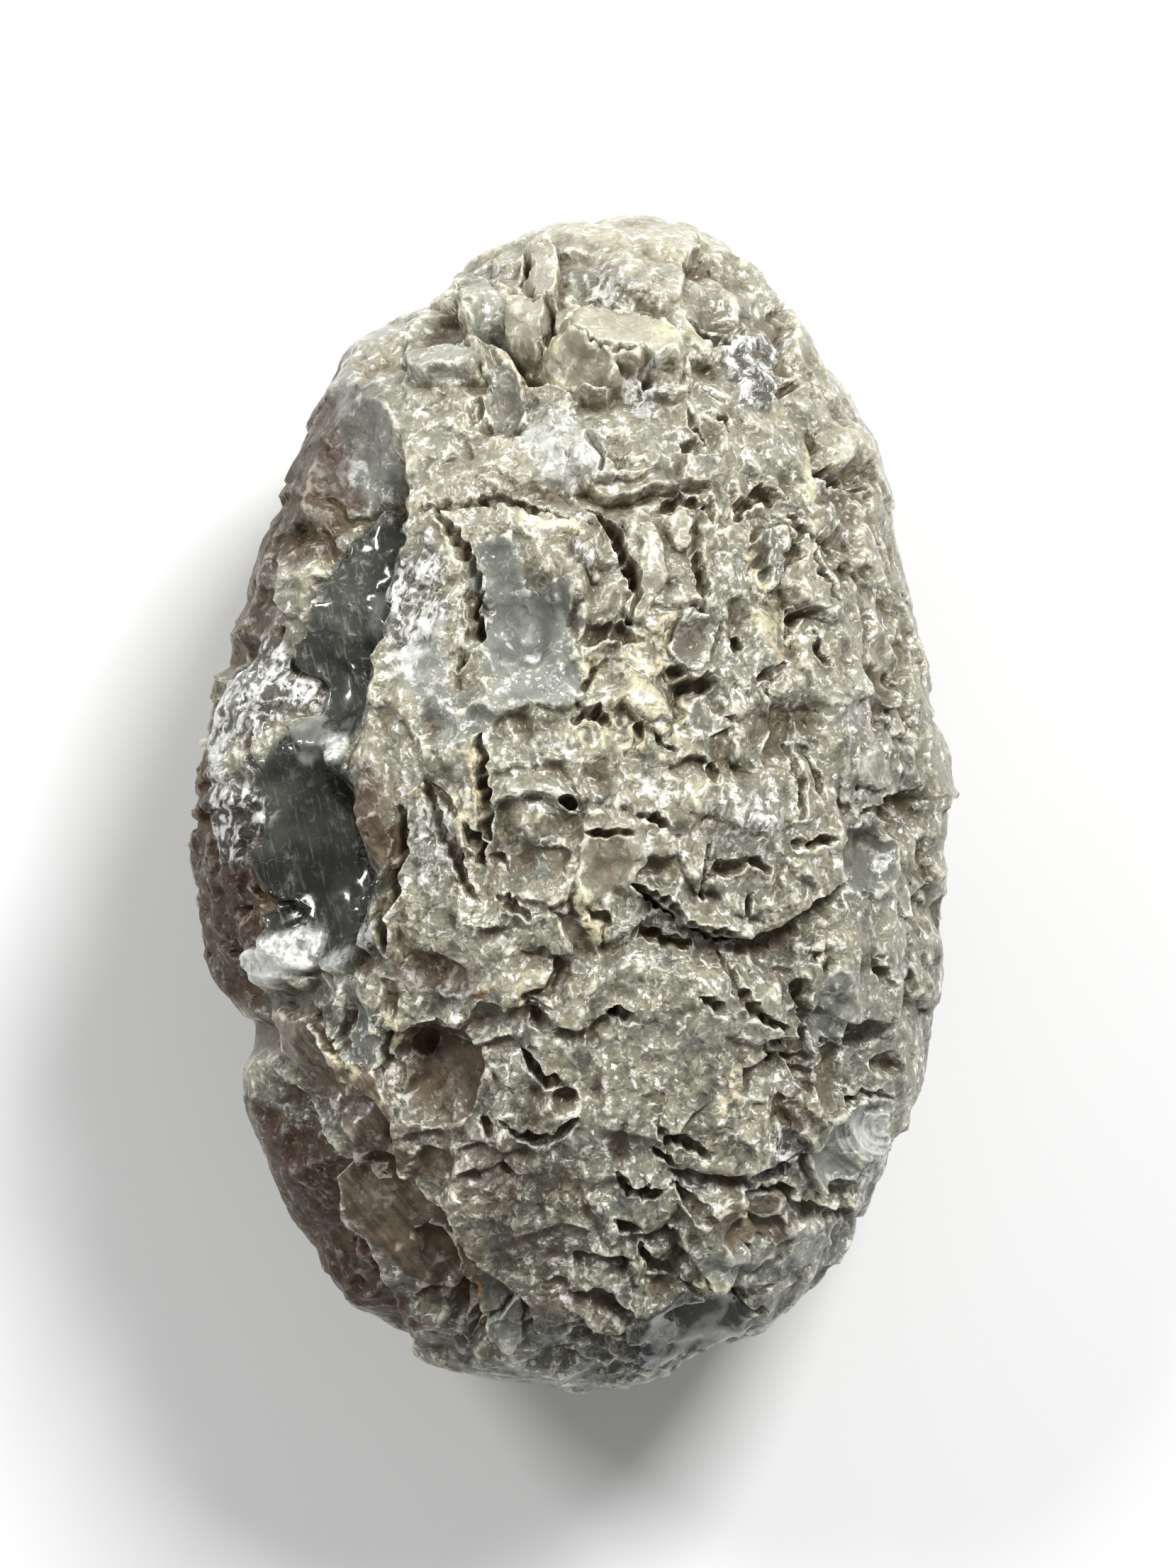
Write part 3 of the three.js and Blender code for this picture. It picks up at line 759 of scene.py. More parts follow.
RIGHT = Region(
    "right side of the face",
    scoops(
        (17.4, -2.6, 2.0, 2.2, -30, -1.5),
        (20.0, 0.0, 1.4, 1.8, 0, -0.9),
        (7.4, 5.9, 1.9, 1.9, 0, -1.3),
        (6.3, 8.0, 0.5, 0.45, 0, -1.2, 0.5),
        (8.1, 2.0, 0.6, 0.6, 0, -0.9, 0.6),
        (7.3, 9.4, 1.2, 1.4, 10, -0.6),
        (18.7, 7.3, 0.9, 1.0, 0, -0.8),
        (16.4, 15.0, 0.9, 1.4, 0, -0.6),
        (14.8, -11.4, 1.4, 2.6, -8, -1.0),
        (18.5, -14.3, 0.8, 0.7, 0, -1.0),
        (17.0, -12.5, 1.3, 1.2, 0, -0.9),
        (15.2, -19.2, 1.3, 2.1, -10, -1.2, 0.8),
        (16.9, -17.6, 1.6, 1.5, 0, -0.9),
    )
    + ledges(
        (
            1.9, 3.0, (3.4, -4.0), (4.9, -5.2), (6.7, -6.4), (8.4, -7.0), (10.2, -7.1), (12.6, -6.1),
            (14.3, -4.7), (15.6, -4.0), (17.2, -3.6),
        ),
        (1.2, 2.0, (5.8, 8.4), (6.5, 7.5), (8.0, 8.0), (8.8, 7.2)),
        (0.8, 1.5, (9.5, -15.7), (9.9, -14.1), (11.4, -13.6), (13.0, -13.2)),
    )
    + grooves(
        (1.5, 0.45, (3.5, -4.2), (4.8, -5.2), (6.3, -6.1)),
        (1.4, 0.4, (6.6, -6.3), (8.0, -6.9), (9.4, -7.0), (10.4, -7.3)),
        (1.3, 0.42, (4.6, -7.0), (5.8, -7.4), (7.1, -7.5)),
        (1.4, 0.75, (11.4, 15.7), (11.2, 14.2), (11.6, 12.5)),
        (1.1, 0.5, (10.1, 16.4), (10.8, 17.4), (11.6, 17.9), (13.0, 17.8)),
        (1.1, 0.45, (5.2, 16.5), (6.4, 17.3), (7.8, 16.9)),
        (0.9, 0.35, (8.1, 17.2), (8.3, 16.0)),
        (1.0, 0.4, (12.9, 16.5), (13.6, 15.8), (14.4, 15.3)),
        (1.0, 0.35, (14.3, 14.7), (14.6, 13.6), (15.2, 11.8)),
        (0.9, 0.4, (7.6, 14.2), (7.8, 12.8), (7.7, 11.0)),
        (0.9, 0.35, (13.2, 15.2), (13.1, 14.0)),
        (1.1, 0.4, (12.6, 9.5), (13.4, 10.9), (14.6, 11.2)),
        (0.9, 0.35, (14.4, 9.8), (14.6, 8.6), (15.4, 8.4)),
        (0.9, 0.35, (10.9, 7.1), (11.8, 7.7), (12.6, 8.3)),
        (0.9, 0.4, (9.5, 9.3), (10.2, 8.9)),
        (0.9, 0.32, (13.0, 3.4), (13.3, 1.5), (13.3, -0.2)),
        (0.9, 0.32, (14.2, 2.8), (14.5, 0.4)),
        (0.9, 0.35, (12.8, -1.6), (14.0, -1.7), (15.1, -1.7)),
        (0.7, 0.25, (8.0, -2.0), (7.8, -3.6), (7.8, -5.1)),
        (0.9, 0.38, (7.9, -4.1), (8.8, -3.2), (9.8, -2.8), (11.1, -3.2)),
        (0.9, 0.4, (10.6, -4.6), (9.9, -6.1)),
        (1.3, 0.55, (13.1, -9.3), (13.1, -12.0), (13.5, -14.3), (14.1, -15.5)),
        (1.0, 0.5, (17.4, -8.2), (18.3, -9.6)),
        (0.9, 0.4, (7.3, -10.1), (8.6, -10.9)),
        (1.1, 0.45, (8.9, -8.1), (9.4, -9.6), (10.2, -10.9), (12.1, -12.1)),
        (0.8, 0.38, (11.2, -12.8), (12.1, -14.0)),
        (0.7, 0.3, (15.9, -16.6), (16.9, -15.8), (18.3, -16.0)),
    ),
    patches(
        Finish.HAZE,
        (17.4, -2.8, 2.4, 2.6, -30, 0.6),
        (7.4, 6.0, 1.5, 1.4, 0, 0.4),
        (11.6, 14.2, 0.9, 2.0, 4, 0.5),
        (7.4, 9.6, 1.0, 1.5, 10, 0.4),
        (14.9, -11.4, 1.3, 2.6, -8, 0.8),
        (15.2, -19.2, 1.3, 2.2, -10, 1.0),
        (16.9, -17.6, 1.6, 1.6, 0, 1.0),
    )
    + patches(
        Finish.WAX,
        (6.7, 16.0, 0.9, 1.2, 0, 0.8),
        (17.6, 2.3, 1.3, 1.2, 0, 0.8),
    )
    + patches(Finish.FLARE, (17.5, -17.5, 1.3, 1.2, 0, 0.45))
    + patches(
        Finish.FROST,
        (18.0, -20.4, 2.2, 2.8, -20, 0.7),
        (16.9, 3.0, 2.2, 5.0, 0, 0.3),
        (10.0, -0.6, 2.6, 2.0, 0, 0.5),
    )
    + patches(
        Finish.CREAM,
        (12.2, 10.2, 1.6, 1.4, 0, 0.5),
        (10.8, 14.4, 0.6, 2.2, 10, 1.0),
        (9.6, 16.6, 0.4, 1.4, -24, 0.8),
        (5.6, 9.4, 0.8, 1.6, -20, 0.8),
        (14.2, 18.6, 0.5, 3.0, 0, 0.5),
        (9.5, -15.3, 0.6, 1.9, -16, 0.8),
        (6.4, -7.0, 1.4, 0.5, -10, 0.6),
        (11.0, -13.0, 1.6, 0.8, -20, 0.4),
    )
    + patches(Finish.BROWN, (13.4, -17.0, 2.0, 1.4, -20, 0.4)),
)

FOOT = Region(
    "scaly foot",
    scoops(
        (12.4, -24.6, 2.6, 1.8, 10, -0.4),
        (10.2, -23.0, 2.6, 1.3, 10, -1.1),
        (7.2, -28.9, 3.4, 1.8, 8, -0.8),
        (8.2, -26.2, 1.3, 0.8, 20, 0.6),
        (11.0, -27.9, 0.5, 0.4, 0, -0.8, 0.6),
    )
    + ledges(
        (0.9, 1.7, (-0.2, -24.9), (2.0, -24.6), (3.6, -25.1)),
        (1.0, 1.8, (-0.4, -26.7), (1.0, -26.5), (2.5, -27.0), (3.2, -27.5), (4.8, -28.3)),
        (0.9, 1.6, (-0.3, -29.2), (1.8, -29.6), (4.6, -29.7)),
        (0.9, 1.6, (-1.2, -30.9), (1.5, -31.6), (3.0, -31.5), (5.0, -32.0)),
        (1.0, 2.0, (5.6, -20.0), (8.0, -20.1), (10.0, -19.9), (12.0, -19.2), (13.4, -19.6)),
        (1.2, 2.2, (9.4, -22.2), (10.2, -21.3), (11.2, -20.9), (12.6, -21.0), (13.6, -21.7)),
        (0.8, 1.6, (8.6, -23.9), (9.6, -23.0), (10.6, -22.7), (12.4, -22.6)),
        (0.8, 1.6, (12.4, -21.9), (14.0, -22.1), (15.2, -22.5), (16.8, -22.0)),
        (1.1, 2.6, (5.2, -28.4), (6.0, -27.4), (8.4, -27.0), (10.0, -27.1), (11.0, -28.0)),
    )
    + grooves(
        (1.2, 0.45, (2.9, -19.9), (3.5, -20.9), (4.6, -21.3), (6.0, -21.1)),
        (1.0, 0.4, (4.9, -16.9), (6.0, -18.0), (8.0, -19.3)),
        (0.8, 0.35, (5.1, -18.4), (6.1, -19.7)),
        (0.9, 0.4, (6.2, -21.3), (7.2, -22.0), (8.3, -22.6)),
        (0.8, 0.35, (2.4, -22.7), (4.1, -23.2)),
        (0.9, 0.4, (3.8, -24.3), (4.6, -25.4), (6.1, -25.9)),
    ),
    patches(
        Finish.GLASS,
        (7.0, -29.0, 3.8, 2.0, 10, 1.0),
        (3.2, -30.3, 2.0, 1.0, 0, 0.5),
    )
    + patches(
        Finish.HAZE,
        (12.4, -24.6, 2.8, 1.9, 10, 0.5),
        (8.6, -25.0, 1.2, 1.2, 0, 0.8),
    )
    # The sheet patch under the ledge and the brown patch after it are painted shade.
    + patches(Finish.SHEET, (10.2, -23.0, 2.8, 1.5, 10, 0.9))
    + patches(Finish.BROWN, (0.0, -28.2, 3.0, 2.2, 0, 0.4))
    + patches(
        Finish.CREAM,
        (8.2, -26.2, 1.3, 0.7, 20, 0.6),
        (14.8, -21.7, 1.2, 0.8, 0, 0.4),
    )
    + patches(
        Finish.FROST,
        (12.6, -18.6, 1.0, 0.9, 0, 0.9),
        (12.6, -20.2, 0.9, 0.6, 0, 0.7),
        (10.6, -19.7, 0.9, 0.4, 10, 0.9),
    ),
)

REGIONS = (VALLEY, STEPS, CENTRE, CROWN, RIGHT, FOOT)


# ---- Ground relief -----------------------------------------------------------------------------------------
# A layer's seed and the two after it scatter its points. Later ones draw more for each cell, or its patches.


@dataclass(frozen=True)
class Dents:
    """Smooth hollows with crisp rims, one in some of the cells, each steepest under its upper edge.

    Sizes are in mm. A slim dent is narrower than its cell and turned at random. Patchy dents lie in patches.
    Shallow is the least share of its depth that a dent may have.
    """

    size: Triple
    reach: float
    depth: float
    share: float
    seed: int
    where: Oval | None = None
    slim: float = 1.0
    patchy: float = 0.0
    overhang: float = 0.7
    shallow: float = 0.35
    where_edge: float = 0.5
    patch_band: Band = (-0.25, 0.2)

    def rise_at(self, points: Points, lips: Points) -> Values:
        """Give the dents' height at each point.

        Args:
            points: Where to read it, in mm.
            lips: The direction in which the upper edges face, one a row.

        Returns:
            Heights in mm, 0 or less.
        """
        near, far = scatter(points, self.size, self.seed)
        rise = np.minimum(self.dent(near, lips), self.dent(far, lips))
        if self.where:
            rise *= smoothstep(0.0, self.where_edge, self.where.depth_in(points[:, 0], points[:, 1]))
        if self.patchy:
            rise *= smoothstep(*self.patch_band, noise(points, self.patchy, self.seed + 9))
        return rise

    def dent(self, seat: Neighbour, lips: Points) -> Values:
        """Give the height in one dent, deeper towards its upper edge.

        Args:
            seat: The scattered point that each place is measured from.
            lips: The directions in which lips face, one a row.

        Returns:
            Heights in mm.
        """
        across, _ = turned(seat.offset[:, 0], seat.offset[:, 1], math.pi * lattice(seat.cell, self.seed + 5))
        thin = (1.0 / self.slim**2 - 1.0) * (across / np.mean(self.size)) ** 2
        inside = np.maximum(0.0, 1.0 - (seat.gap**2 + thin) / self.reach**2)
        lean = (seat.offset * lips).sum(axis=1) / (self.reach * np.mean(self.size))
        there = lattice(seat.cell, self.seed + 3) < self.share
        depth = self.depth * mix(self.shallow, 1.0, lattice(seat.cell, self.seed + 4))
        return -1.0 * there * depth * inside * (1.0 - self.overhang * np.clip(lean, -1.0, 1.0))


@dataclass(frozen=True)
class Plates:
    """A layer of broken plates at different levels: cell size, slope, step and the step's width, in mm.

    Sway is how far a plate's slope may turn away from its lip.
    """

    size: Triple
    lean: float
    step: float
    soft: float
    seed: int
    sway: float = 0.9

    def rise_at(self, points: Points, lips: Points) -> Values:
        """Give the layer's height at each point.

        Args:
            points: Where to read it, in mm.
            lips: The direction in which the plates' lips face, one a row.

        Returns:
            Heights in mm.
        """
        near, far = scatter(points, self.size, self.seed)
        first, second = self.plate(near, lips), self.plate(far, lips)
        share = smoothstep(0.0, self.soft, (far.gap - near.gap) * np.mean(self.size))
        return mix(0.5 * (first + second), first, share)

    def plate(self, seat: Neighbour, lips: Points) -> Values:
        """Give the height of one plate, which climbs towards its lip.

        Args:
            seat: The scattered point that each place is measured from.
            lips: The directions in which lips face, one a row.

        Returns:
            Heights in mm.
        """
        sway = self.sway * (2.0 * lattice(seat.cell, self.seed + 3) - 1.0)[:, None]
        across = np.stack([lips[:, 1], -lips[:, 0], np.zeros(len(lips))], axis=1)
        climb = (seat.offset * (lips + sway * across)).sum(axis=1)
        return self.lean * climb + self.step * (lattice(seat.cell, self.seed + 4) - 1.0)


@dataclass(frozen=True)
class Worms:
    """Short crooked grooves, one in some of the cells: cell size, half length, half width and depth, in mm.

    Turn is where their directions start, in half turns. The shortest has that share of the half length.
    """

    size: float
    half_length: float
    half_width: float
    depth: float
    share: float
    seed: int
    turn: float = 0.65
    bend: float = 0.25
    shortest: float = 0.4
    upright: float = 0.5

    def rise_at(self, points: Points) -> Values:
        """Give the grooves' height at each point, 0 or less.

        Args:
            points: Where to read it, in mm.

        Returns:
            Heights in mm.
        """
        near, _ = scatter(points, (self.size,) * 3, self.seed)
        turn = math.pi * (lattice(near.cell, self.seed + 3) - self.turn)
        along, across = turned(near.offset[:, 0], near.offset[:, 1], turn)
        across = across - self.bend * along**2 * (2.0 * lattice(near.cell, self.seed + 5) - 1.0)
        half = self.half_length * mix(self.shortest, 1.0, lattice(near.cell, self.seed + 6))
        past = np.maximum(0.0, np.abs(along) - half)
        gap = np.hypot(past, np.hypot(across, self.upright * near.offset[:, 2])) / self.half_width
        there = lattice(near.cell, self.seed + 4) < self.share
        return -1.0 * there * self.depth * np.sqrt(np.maximum(0.0, 1.0 - gap**2))


@dataclass
class Relief:
    """How far the skin stands out from the smooth body, and where each finish lies.

    Sizes and heights are in mm. Bands are the readings between which something eases in.
    """

    swell: float = 0.5
    swell_cloud: Cloud = Cloud(11.0, 1)
    plates: tuple[Plates, ...] = (
        Plates((7.0, 6.0, 6.5), 0.12, 0.80, 0.35, 31),
        Plates((3.4, 2.6, 3.2), 0.14, 0.26, 0.25, 41),
    )
    dents: tuple[Dents, ...] = (
        Dents((6.0, 5.6, 6.0), 0.64, 0.85, 0.6, 111, slim=0.8),
        Dents((3.3, 3.3, 3.3), 0.72, 0.60, 0.85, 121, slim=0.75),
        Dents((1.8, 1.8, 1.8), 0.70, 0.34, 0.85, 131, slim=0.8, patchy=5.0),
        Dents((1.9, 3.8, 2.6), 0.72, 0.90, 0.95, 141, Oval(14.0, 4.0, 9.0, 19.0)),
        Dents((3.6, 1.9, 3.0), 0.68, 0.60, 0.85, 151, Oval(3.0, -27.0, 11.0, 8.0)),
    )
    worms: tuple[Worms, ...] = (
        Worms(4.4, 1.2, 0.44, 0.50, 0.26, 161),
        Worms(2.6, 0.6, 0.34, 0.28, 0.11, 171),
    )
    grit: float = 0.03
    grit_cloud: Cloud = Cloud(0.6, 91)

    glass_calm: float = 0.92
    calm_places: tuple[Oval, ...] = (
        Oval(5.0, -13.5, 8.0, 6.5),
        Oval(-12.0, -21.0, 6.0, 12.0, 32.0),
        Oval(-7.5, 4.0, 3.5, 16.0),
        Oval(-2.9, 10.8, 4.6, 6.4, 8.0),
        Oval(1.0, 28.5, 8.0, 5.5),
    )
    calm_share: float = 0.5
    calm_edge: float = 0.5
    girth_share: float = 0.55
    girth_height: float = 7.0
    under_share: float = 0.7
    quiet_share: float = 0.5
    lively_share: float = 1.1
    quiet_band: Band = (-0.3, 0.3)
    quiet_cloud: Cloud = Cloud(4.5, 201)
    plates_least: float = 0.15

    drift: Wander = Wander(0.7, 2.6, 71)
    fray: Wander = Wander(0.24, 0.75, 81)
    ragged_least: float = 0.35
    ragged_drift: float = 0.5
    dents_drift: float = 0.7
    dents_fray: float = 0.5
    finish_drift: Wander = Wander(0.8, 2.2, 101)
    finish_fray: Wander = Wander(0.3, 0.7, 105)

    lip_radius: float = 20.0
    side_turn: float = 1.1
    side_band: Band = (5.0, 12.0)
    lip_turn: float = 1.3
    lip_cloud: Cloud = Cloud(9.0, 61)

    under_edge: float = -3.0
    under_full: float = -6.0
    under_shift: float = 4.0
    marks_full: float = 5.0
    marks_under: float = 0.45
    finish_full: float = -0.5
    flank_ragged: float = 4.0
    flank_full: float = 3.0
    flank_cloud: Cloud = Cloud(4.5, 211)
    # The flank's brown is partly its own colour and partly painted shade where it turns from the light.
    brown_and_shade: float = 0.9
    brown_and_shade_side: Band = (9.0, 16.0)
    brown_and_shade_foot: Band = (-13.0, -8.0)
    brown_and_shade_top: Band = (1.0, 5.0)
    brown_and_shade_band: Band = (-0.15, 0.2)
    brown_and_shade_cloud: Cloud = Cloud(5.5, 221)

    def in_plan(self, points: Points, ragged: Points) -> tuple[Values, Values]:
        """Give the plan places where marks are read. The underside's are mirrored and shifted.

        Args:
            points: Places on the smooth body, in mm.
            ragged: The same places, pushed about.

        Returns:
            Places across and along, in mm.
        """
        top = points[:, 2] > self.under_edge
        x, y = ragged[:, 0], ragged[:, 1]
        return np.where(top, x, -x), np.where(top, y, y + self.under_shift)

    def gate(self, points: Points, below: float, full: float) -> Values:
        """Fade marks in from the girth up to a full height, and weigh the underside's by below.

        Args:
            points: Places on the smooth body, in mm.
            below: The underside's weight.
            full: Where the marks are full, in mm.

        Returns:
            Weights from 0 to 1.
        """
        height = points[:, 2]
        under = below * (1.0 - smoothstep(self.under_full, self.under_edge, height))
        return np.where(height > self.under_edge, smoothstep(self.under_edge, full, height), under)

    def marks_at(self, points: Points, ragged: Points) -> Values:
        """Give the height of the placed marks.

        Args:
            points: Places on the smooth body, in mm.
            ragged: The same places, pushed about.

        Returns:
            Heights in mm.
        """
        x, y = self.in_plan(points, ragged)
        rise = sum(mark.rise_at(x, y) for region in REGIONS for mark in region.marks)
        return self.gate(points, self.marks_under, self.marks_full) * rise

    def finish_at(self, points: Points, ragged: Points, finish: Finish) -> Values:
        """Say how strongly a finish covers each point, from 0 to 1.

        Args:
            points: Places on the smooth body, in mm.
            ragged: The same places, pushed about.
            finish: Which finish.

        Returns:
            Covers from 0 to 1.
        """
        x, y = self.in_plan(points, ragged)
        cover = np.zeros(len(points))
        for region in REGIONS:
            for patch in region.patches:
                if patch.finish is finish:
                    inside = smoothstep(0.0, finish.full_at, patch.oval.depth_in(x, y))
                    cover = np.maximum(cover, patch.strength * inside)
        return self.gate(points, 1.0, self.finish_full) * cover

    def covers_at(self, points: Points) -> dict[Finish, Values]:
        """Say how strongly each finish covers each point of the smooth body.

        Args:
            points: Places on the smooth body, in mm.

        Returns:
            Each finish's cover.
        """
        ragged = points + (self.finish_drift.push(points) + self.finish_fray.push(points))
        fade = self.flank_fade(points)
        covers = {finish: fade * self.finish_at(points, ragged, finish) for finish in Finish}
        covers[Finish.BROWN] = np.maximum(covers[Finish.BROWN], self.flank_brown_and_shade(points))
        return covers

    def flank_fade(self, points: Points) -> Values:
        """Let the placed finishes end raggedly down the flanks. The underside's are left whole.

        Args:
            points: Places on the smooth body, in mm.

        Returns:
            Weights from 0 to 1.
        """
        height = points[:, 2] + self.flank_ragged * self.flank_cloud.at(points)
        fade = smoothstep(self.under_edge, self.flank_full, height)
        return np.where(points[:, 2] > self.under_edge, fade, 1.0)

    def flank_brown_and_shade(self, points: Points) -> Values:
        """Brown the flank beside the valley, partly real colour and partly painted shade, in patches that run
        down under the girth.

        Args:
            points: Places on the smooth body, in mm.

        Returns:
            Covers from 0 to 1.
        """
        height = points[:, 2]
        side = smoothstep(*self.brown_and_shade_side, -points[:, 0])
        level = smoothstep(*self.brown_and_shade_foot, height) * (1.0 - smoothstep(*self.brown_and_shade_top, height))
        return self.brown_and_shade * side * level * smoothstep(*self.brown_and_shade_band, self.brown_and_shade_cloud.at(points))

    def roughness(self, points: Points, glass: Values) -> Values:
        """Say how much ground relief each place has: less on glass, calm places, the girth and the underside.

        Args:
            points: Places on the smooth body, in mm.
            glass: How smooth and glassy each place is.

        Returns:
            Shares of the relief.
        """
        rough = 1.0 - self.glass_calm * glass
        x, y, height = points.T
        calm = [smoothstep(0.0, self.calm_edge, oval.depth_in(x, y)) for oval in self.calm_places]
        rough *= 1.0 - self.calm_share * np.max(calm, axis=0)
        full = np.where(height > 0.0, 1.0, self.under_share)
        rough *= mix(self.girth_share, full, smoothstep(0.0, self.girth_height, np.abs(height)))
        lively = smoothstep(*self.quiet_band, self.quiet_cloud.at(points))
        return rough * mix(self.quiet_share, self.lively_share, lively)

    def lips(self, points: Points) -> Points:
        """Give the level directions in which lips face: down the length, fanned out and turned by noise.

        Args:
            points: Places on the smooth body, in mm.

        Returns:
            Unit vectors, one a row.
        """
        turn = points[:, 0] / self.lip_radius - self.side_turn * smoothstep(*self.side_band, points[:, 0])
        turn += self.lip_turn * self.lip_cloud.at(points)
        return np.stack([np.sin(turn), -np.cos(turn), np.zeros(len(points))], axis=1)

    def rise_at(self, points: Points, glass: Values) -> Values:
        """Give the skin's whole height over the smooth body.

        Args:
            points: Places on the smooth body, in mm from the middle of its widest plan.
            glass: How smooth and glassy each place is.

        Returns:
            Heights in mm.
        """
        rough = self.roughness(points, glass)
        lips = self.lips(points)
        drift, fray = self.drift.push(points), self.fray.push(points)
        ragged = points + mix(self.ragged_least, 1.0, rough)[:, None] * (self.ragged_drift * drift + fray)
        dented = points + self.dents_drift * drift + self.dents_fray * fray
        ground = self.swell * (self.swell_cloud.at(points) - 1.0)
        loose = points + drift + fray
        broken = mix(self.plates_least, 1.0, rough)
        ground += broken * sum(layer.rise_at(loose, lips) for layer in self.plates)
        ground += rough * sum(layer.rise_at(dented, lips) for layer in self.dents)
        ground += rough * sum(layer.rise_at(points + fray) for layer in self.worms)
        ground += rough * self.grit * self.grit_cloud.at(points)
        return self.marks_at(points, ragged) + ground


@dataclass
class Body:
    """The smooth egg-shaped body, in mm from the middle of its widest plan, and the spot that it rests on."""

    width: float = 43.6
    length: float = 66.6
    height: float = 33.4
    crown: float = 18.4
    keel: float = 15.6
    rest_depth: float = 15.1
    rest_across: float = 6.0
    rest_along: float = 9.0
    rest_edge: float = 1.45
    fullness: float = 2.25
    outline: tuple[tuple[float, float], ...] = (
        (21.7, 0.0), (21.0, 7.0), (19.7, 14.2), (17.4, 21.4), (14.4, 26.2), (10.1, 31.0), (5.4, 33.3),
        (0.0, 33.3), (-4.0, 31.9), (-8.6, 29.3), (-13.3, 26.1), (-15.8, 21.4), (-17.9, 16.6), (-19.2, 11.8),
        (-20.2, 9.4), (-21.3, 4.6), (-21.8, -2.4), (-20.8, -7.4), (-18.3, -12.4), (-18.3, -17.0),
        (-16.9, -21.8), (-13.7, -26.6), (-9.0, -30.3), (-4.0, -32.5), (0.0, -33.2), (3.8, -33.1),
        (7.8, -31.4), (12.2, -29.0), (16.5, -24.2), (19.1, -19.4), (21.2, -14.6), (21.7, -9.8), (21.4, -5.0),
    )

    def outline_scale(self, angle: Values) -> Values:
        """Say how far the outline lies outside the plain ellipse at each angle.

        Args:
            angle: Angles in plan, in radians.

        Returns:
            Scales, 1 on the ellipse.
        """
        plan = np.array(self.outline) / (self.width / 2, self.length / 2)
        angles = np.arctan2(plan[:, 1], plan[:, 0])
        scales = np.hypot(plan[:, 0], plan[:, 1])
        order = np.argsort(angles)
        angles, scales = angles[order], scales[order]
        full = 2.0 * math.pi
        angles = np.concatenate([[angles[-1] - full], angles, [angles[0] + full]])
        scales = np.concatenate([[scales[-1]], scales, [scales[0]]])
        after = np.clip(np.searchsorted(angles, angle, side="right"), 1, len(angles) - 1)
        share = (angle - angles[after - 1]) / (angles[after] - angles[after - 1])
        return mix(scales[after - 1], scales[after], smoothstep(0.0, 1.0, share))

    def surface(self, directions: Points) -> tuple[Points, Points]:
        """Find the smooth surface in each direction from the middle.

        Args:
            directions: Unit vectors, one a row.

        Returns:
            Points in mm, and the outward directions there.
        """
        x, y, z = directions.T
        plan = np.hypot(x, y)
        reach = (plan**self.fullness + np.abs(z) ** self.fullness) ** (-1.0 / self.fullness)
        outline = mix(1.0, self.outline_scale(np.arctan2(y, x)), plan * plan)
        deep = np.where(z > 0.0, self.crown, self.keel)
        half = np.stack([np.full(len(z), self.width / 2), np.full(len(z), self.length / 2), deep], axis=1)
        scale = np.stack([outline, outline, np.ones(len(z))], axis=1)
        points = half * scale * reach[:, None] * directions
        outward = points / half**2
        return points, outward / np.linalg.norm(outward, axis=1, keepdims=True)

    def roughness_gate(self, points: Points) -> Values:
        """Give 0 on the spot that the stone rests on and 1 away from it."""
        spot = np.hypot(points[:, 0] / self.rest_across, points[:, 1] / self.rest_along)
        return np.where(points[:, 2] > 0.0, 1.0, smoothstep(1.0, self.rest_edge, spot))


# ---- The nodule --------------------------------------------------------------------------------------------


@dataclass
class Skin:
    """What the finished mesh carries to its material, one value a vertex."""

    edge: Values
    hollow: Values
    deep: Values
    covers: dict[Finish, Values]


@dataclass
class Placed:
    """Where the skin lies in some directions, how high it is over the smooth body, and what covers it."""

    points: Points
    outward: Points
    rise: Values
    covers: dict[Finish, Values]


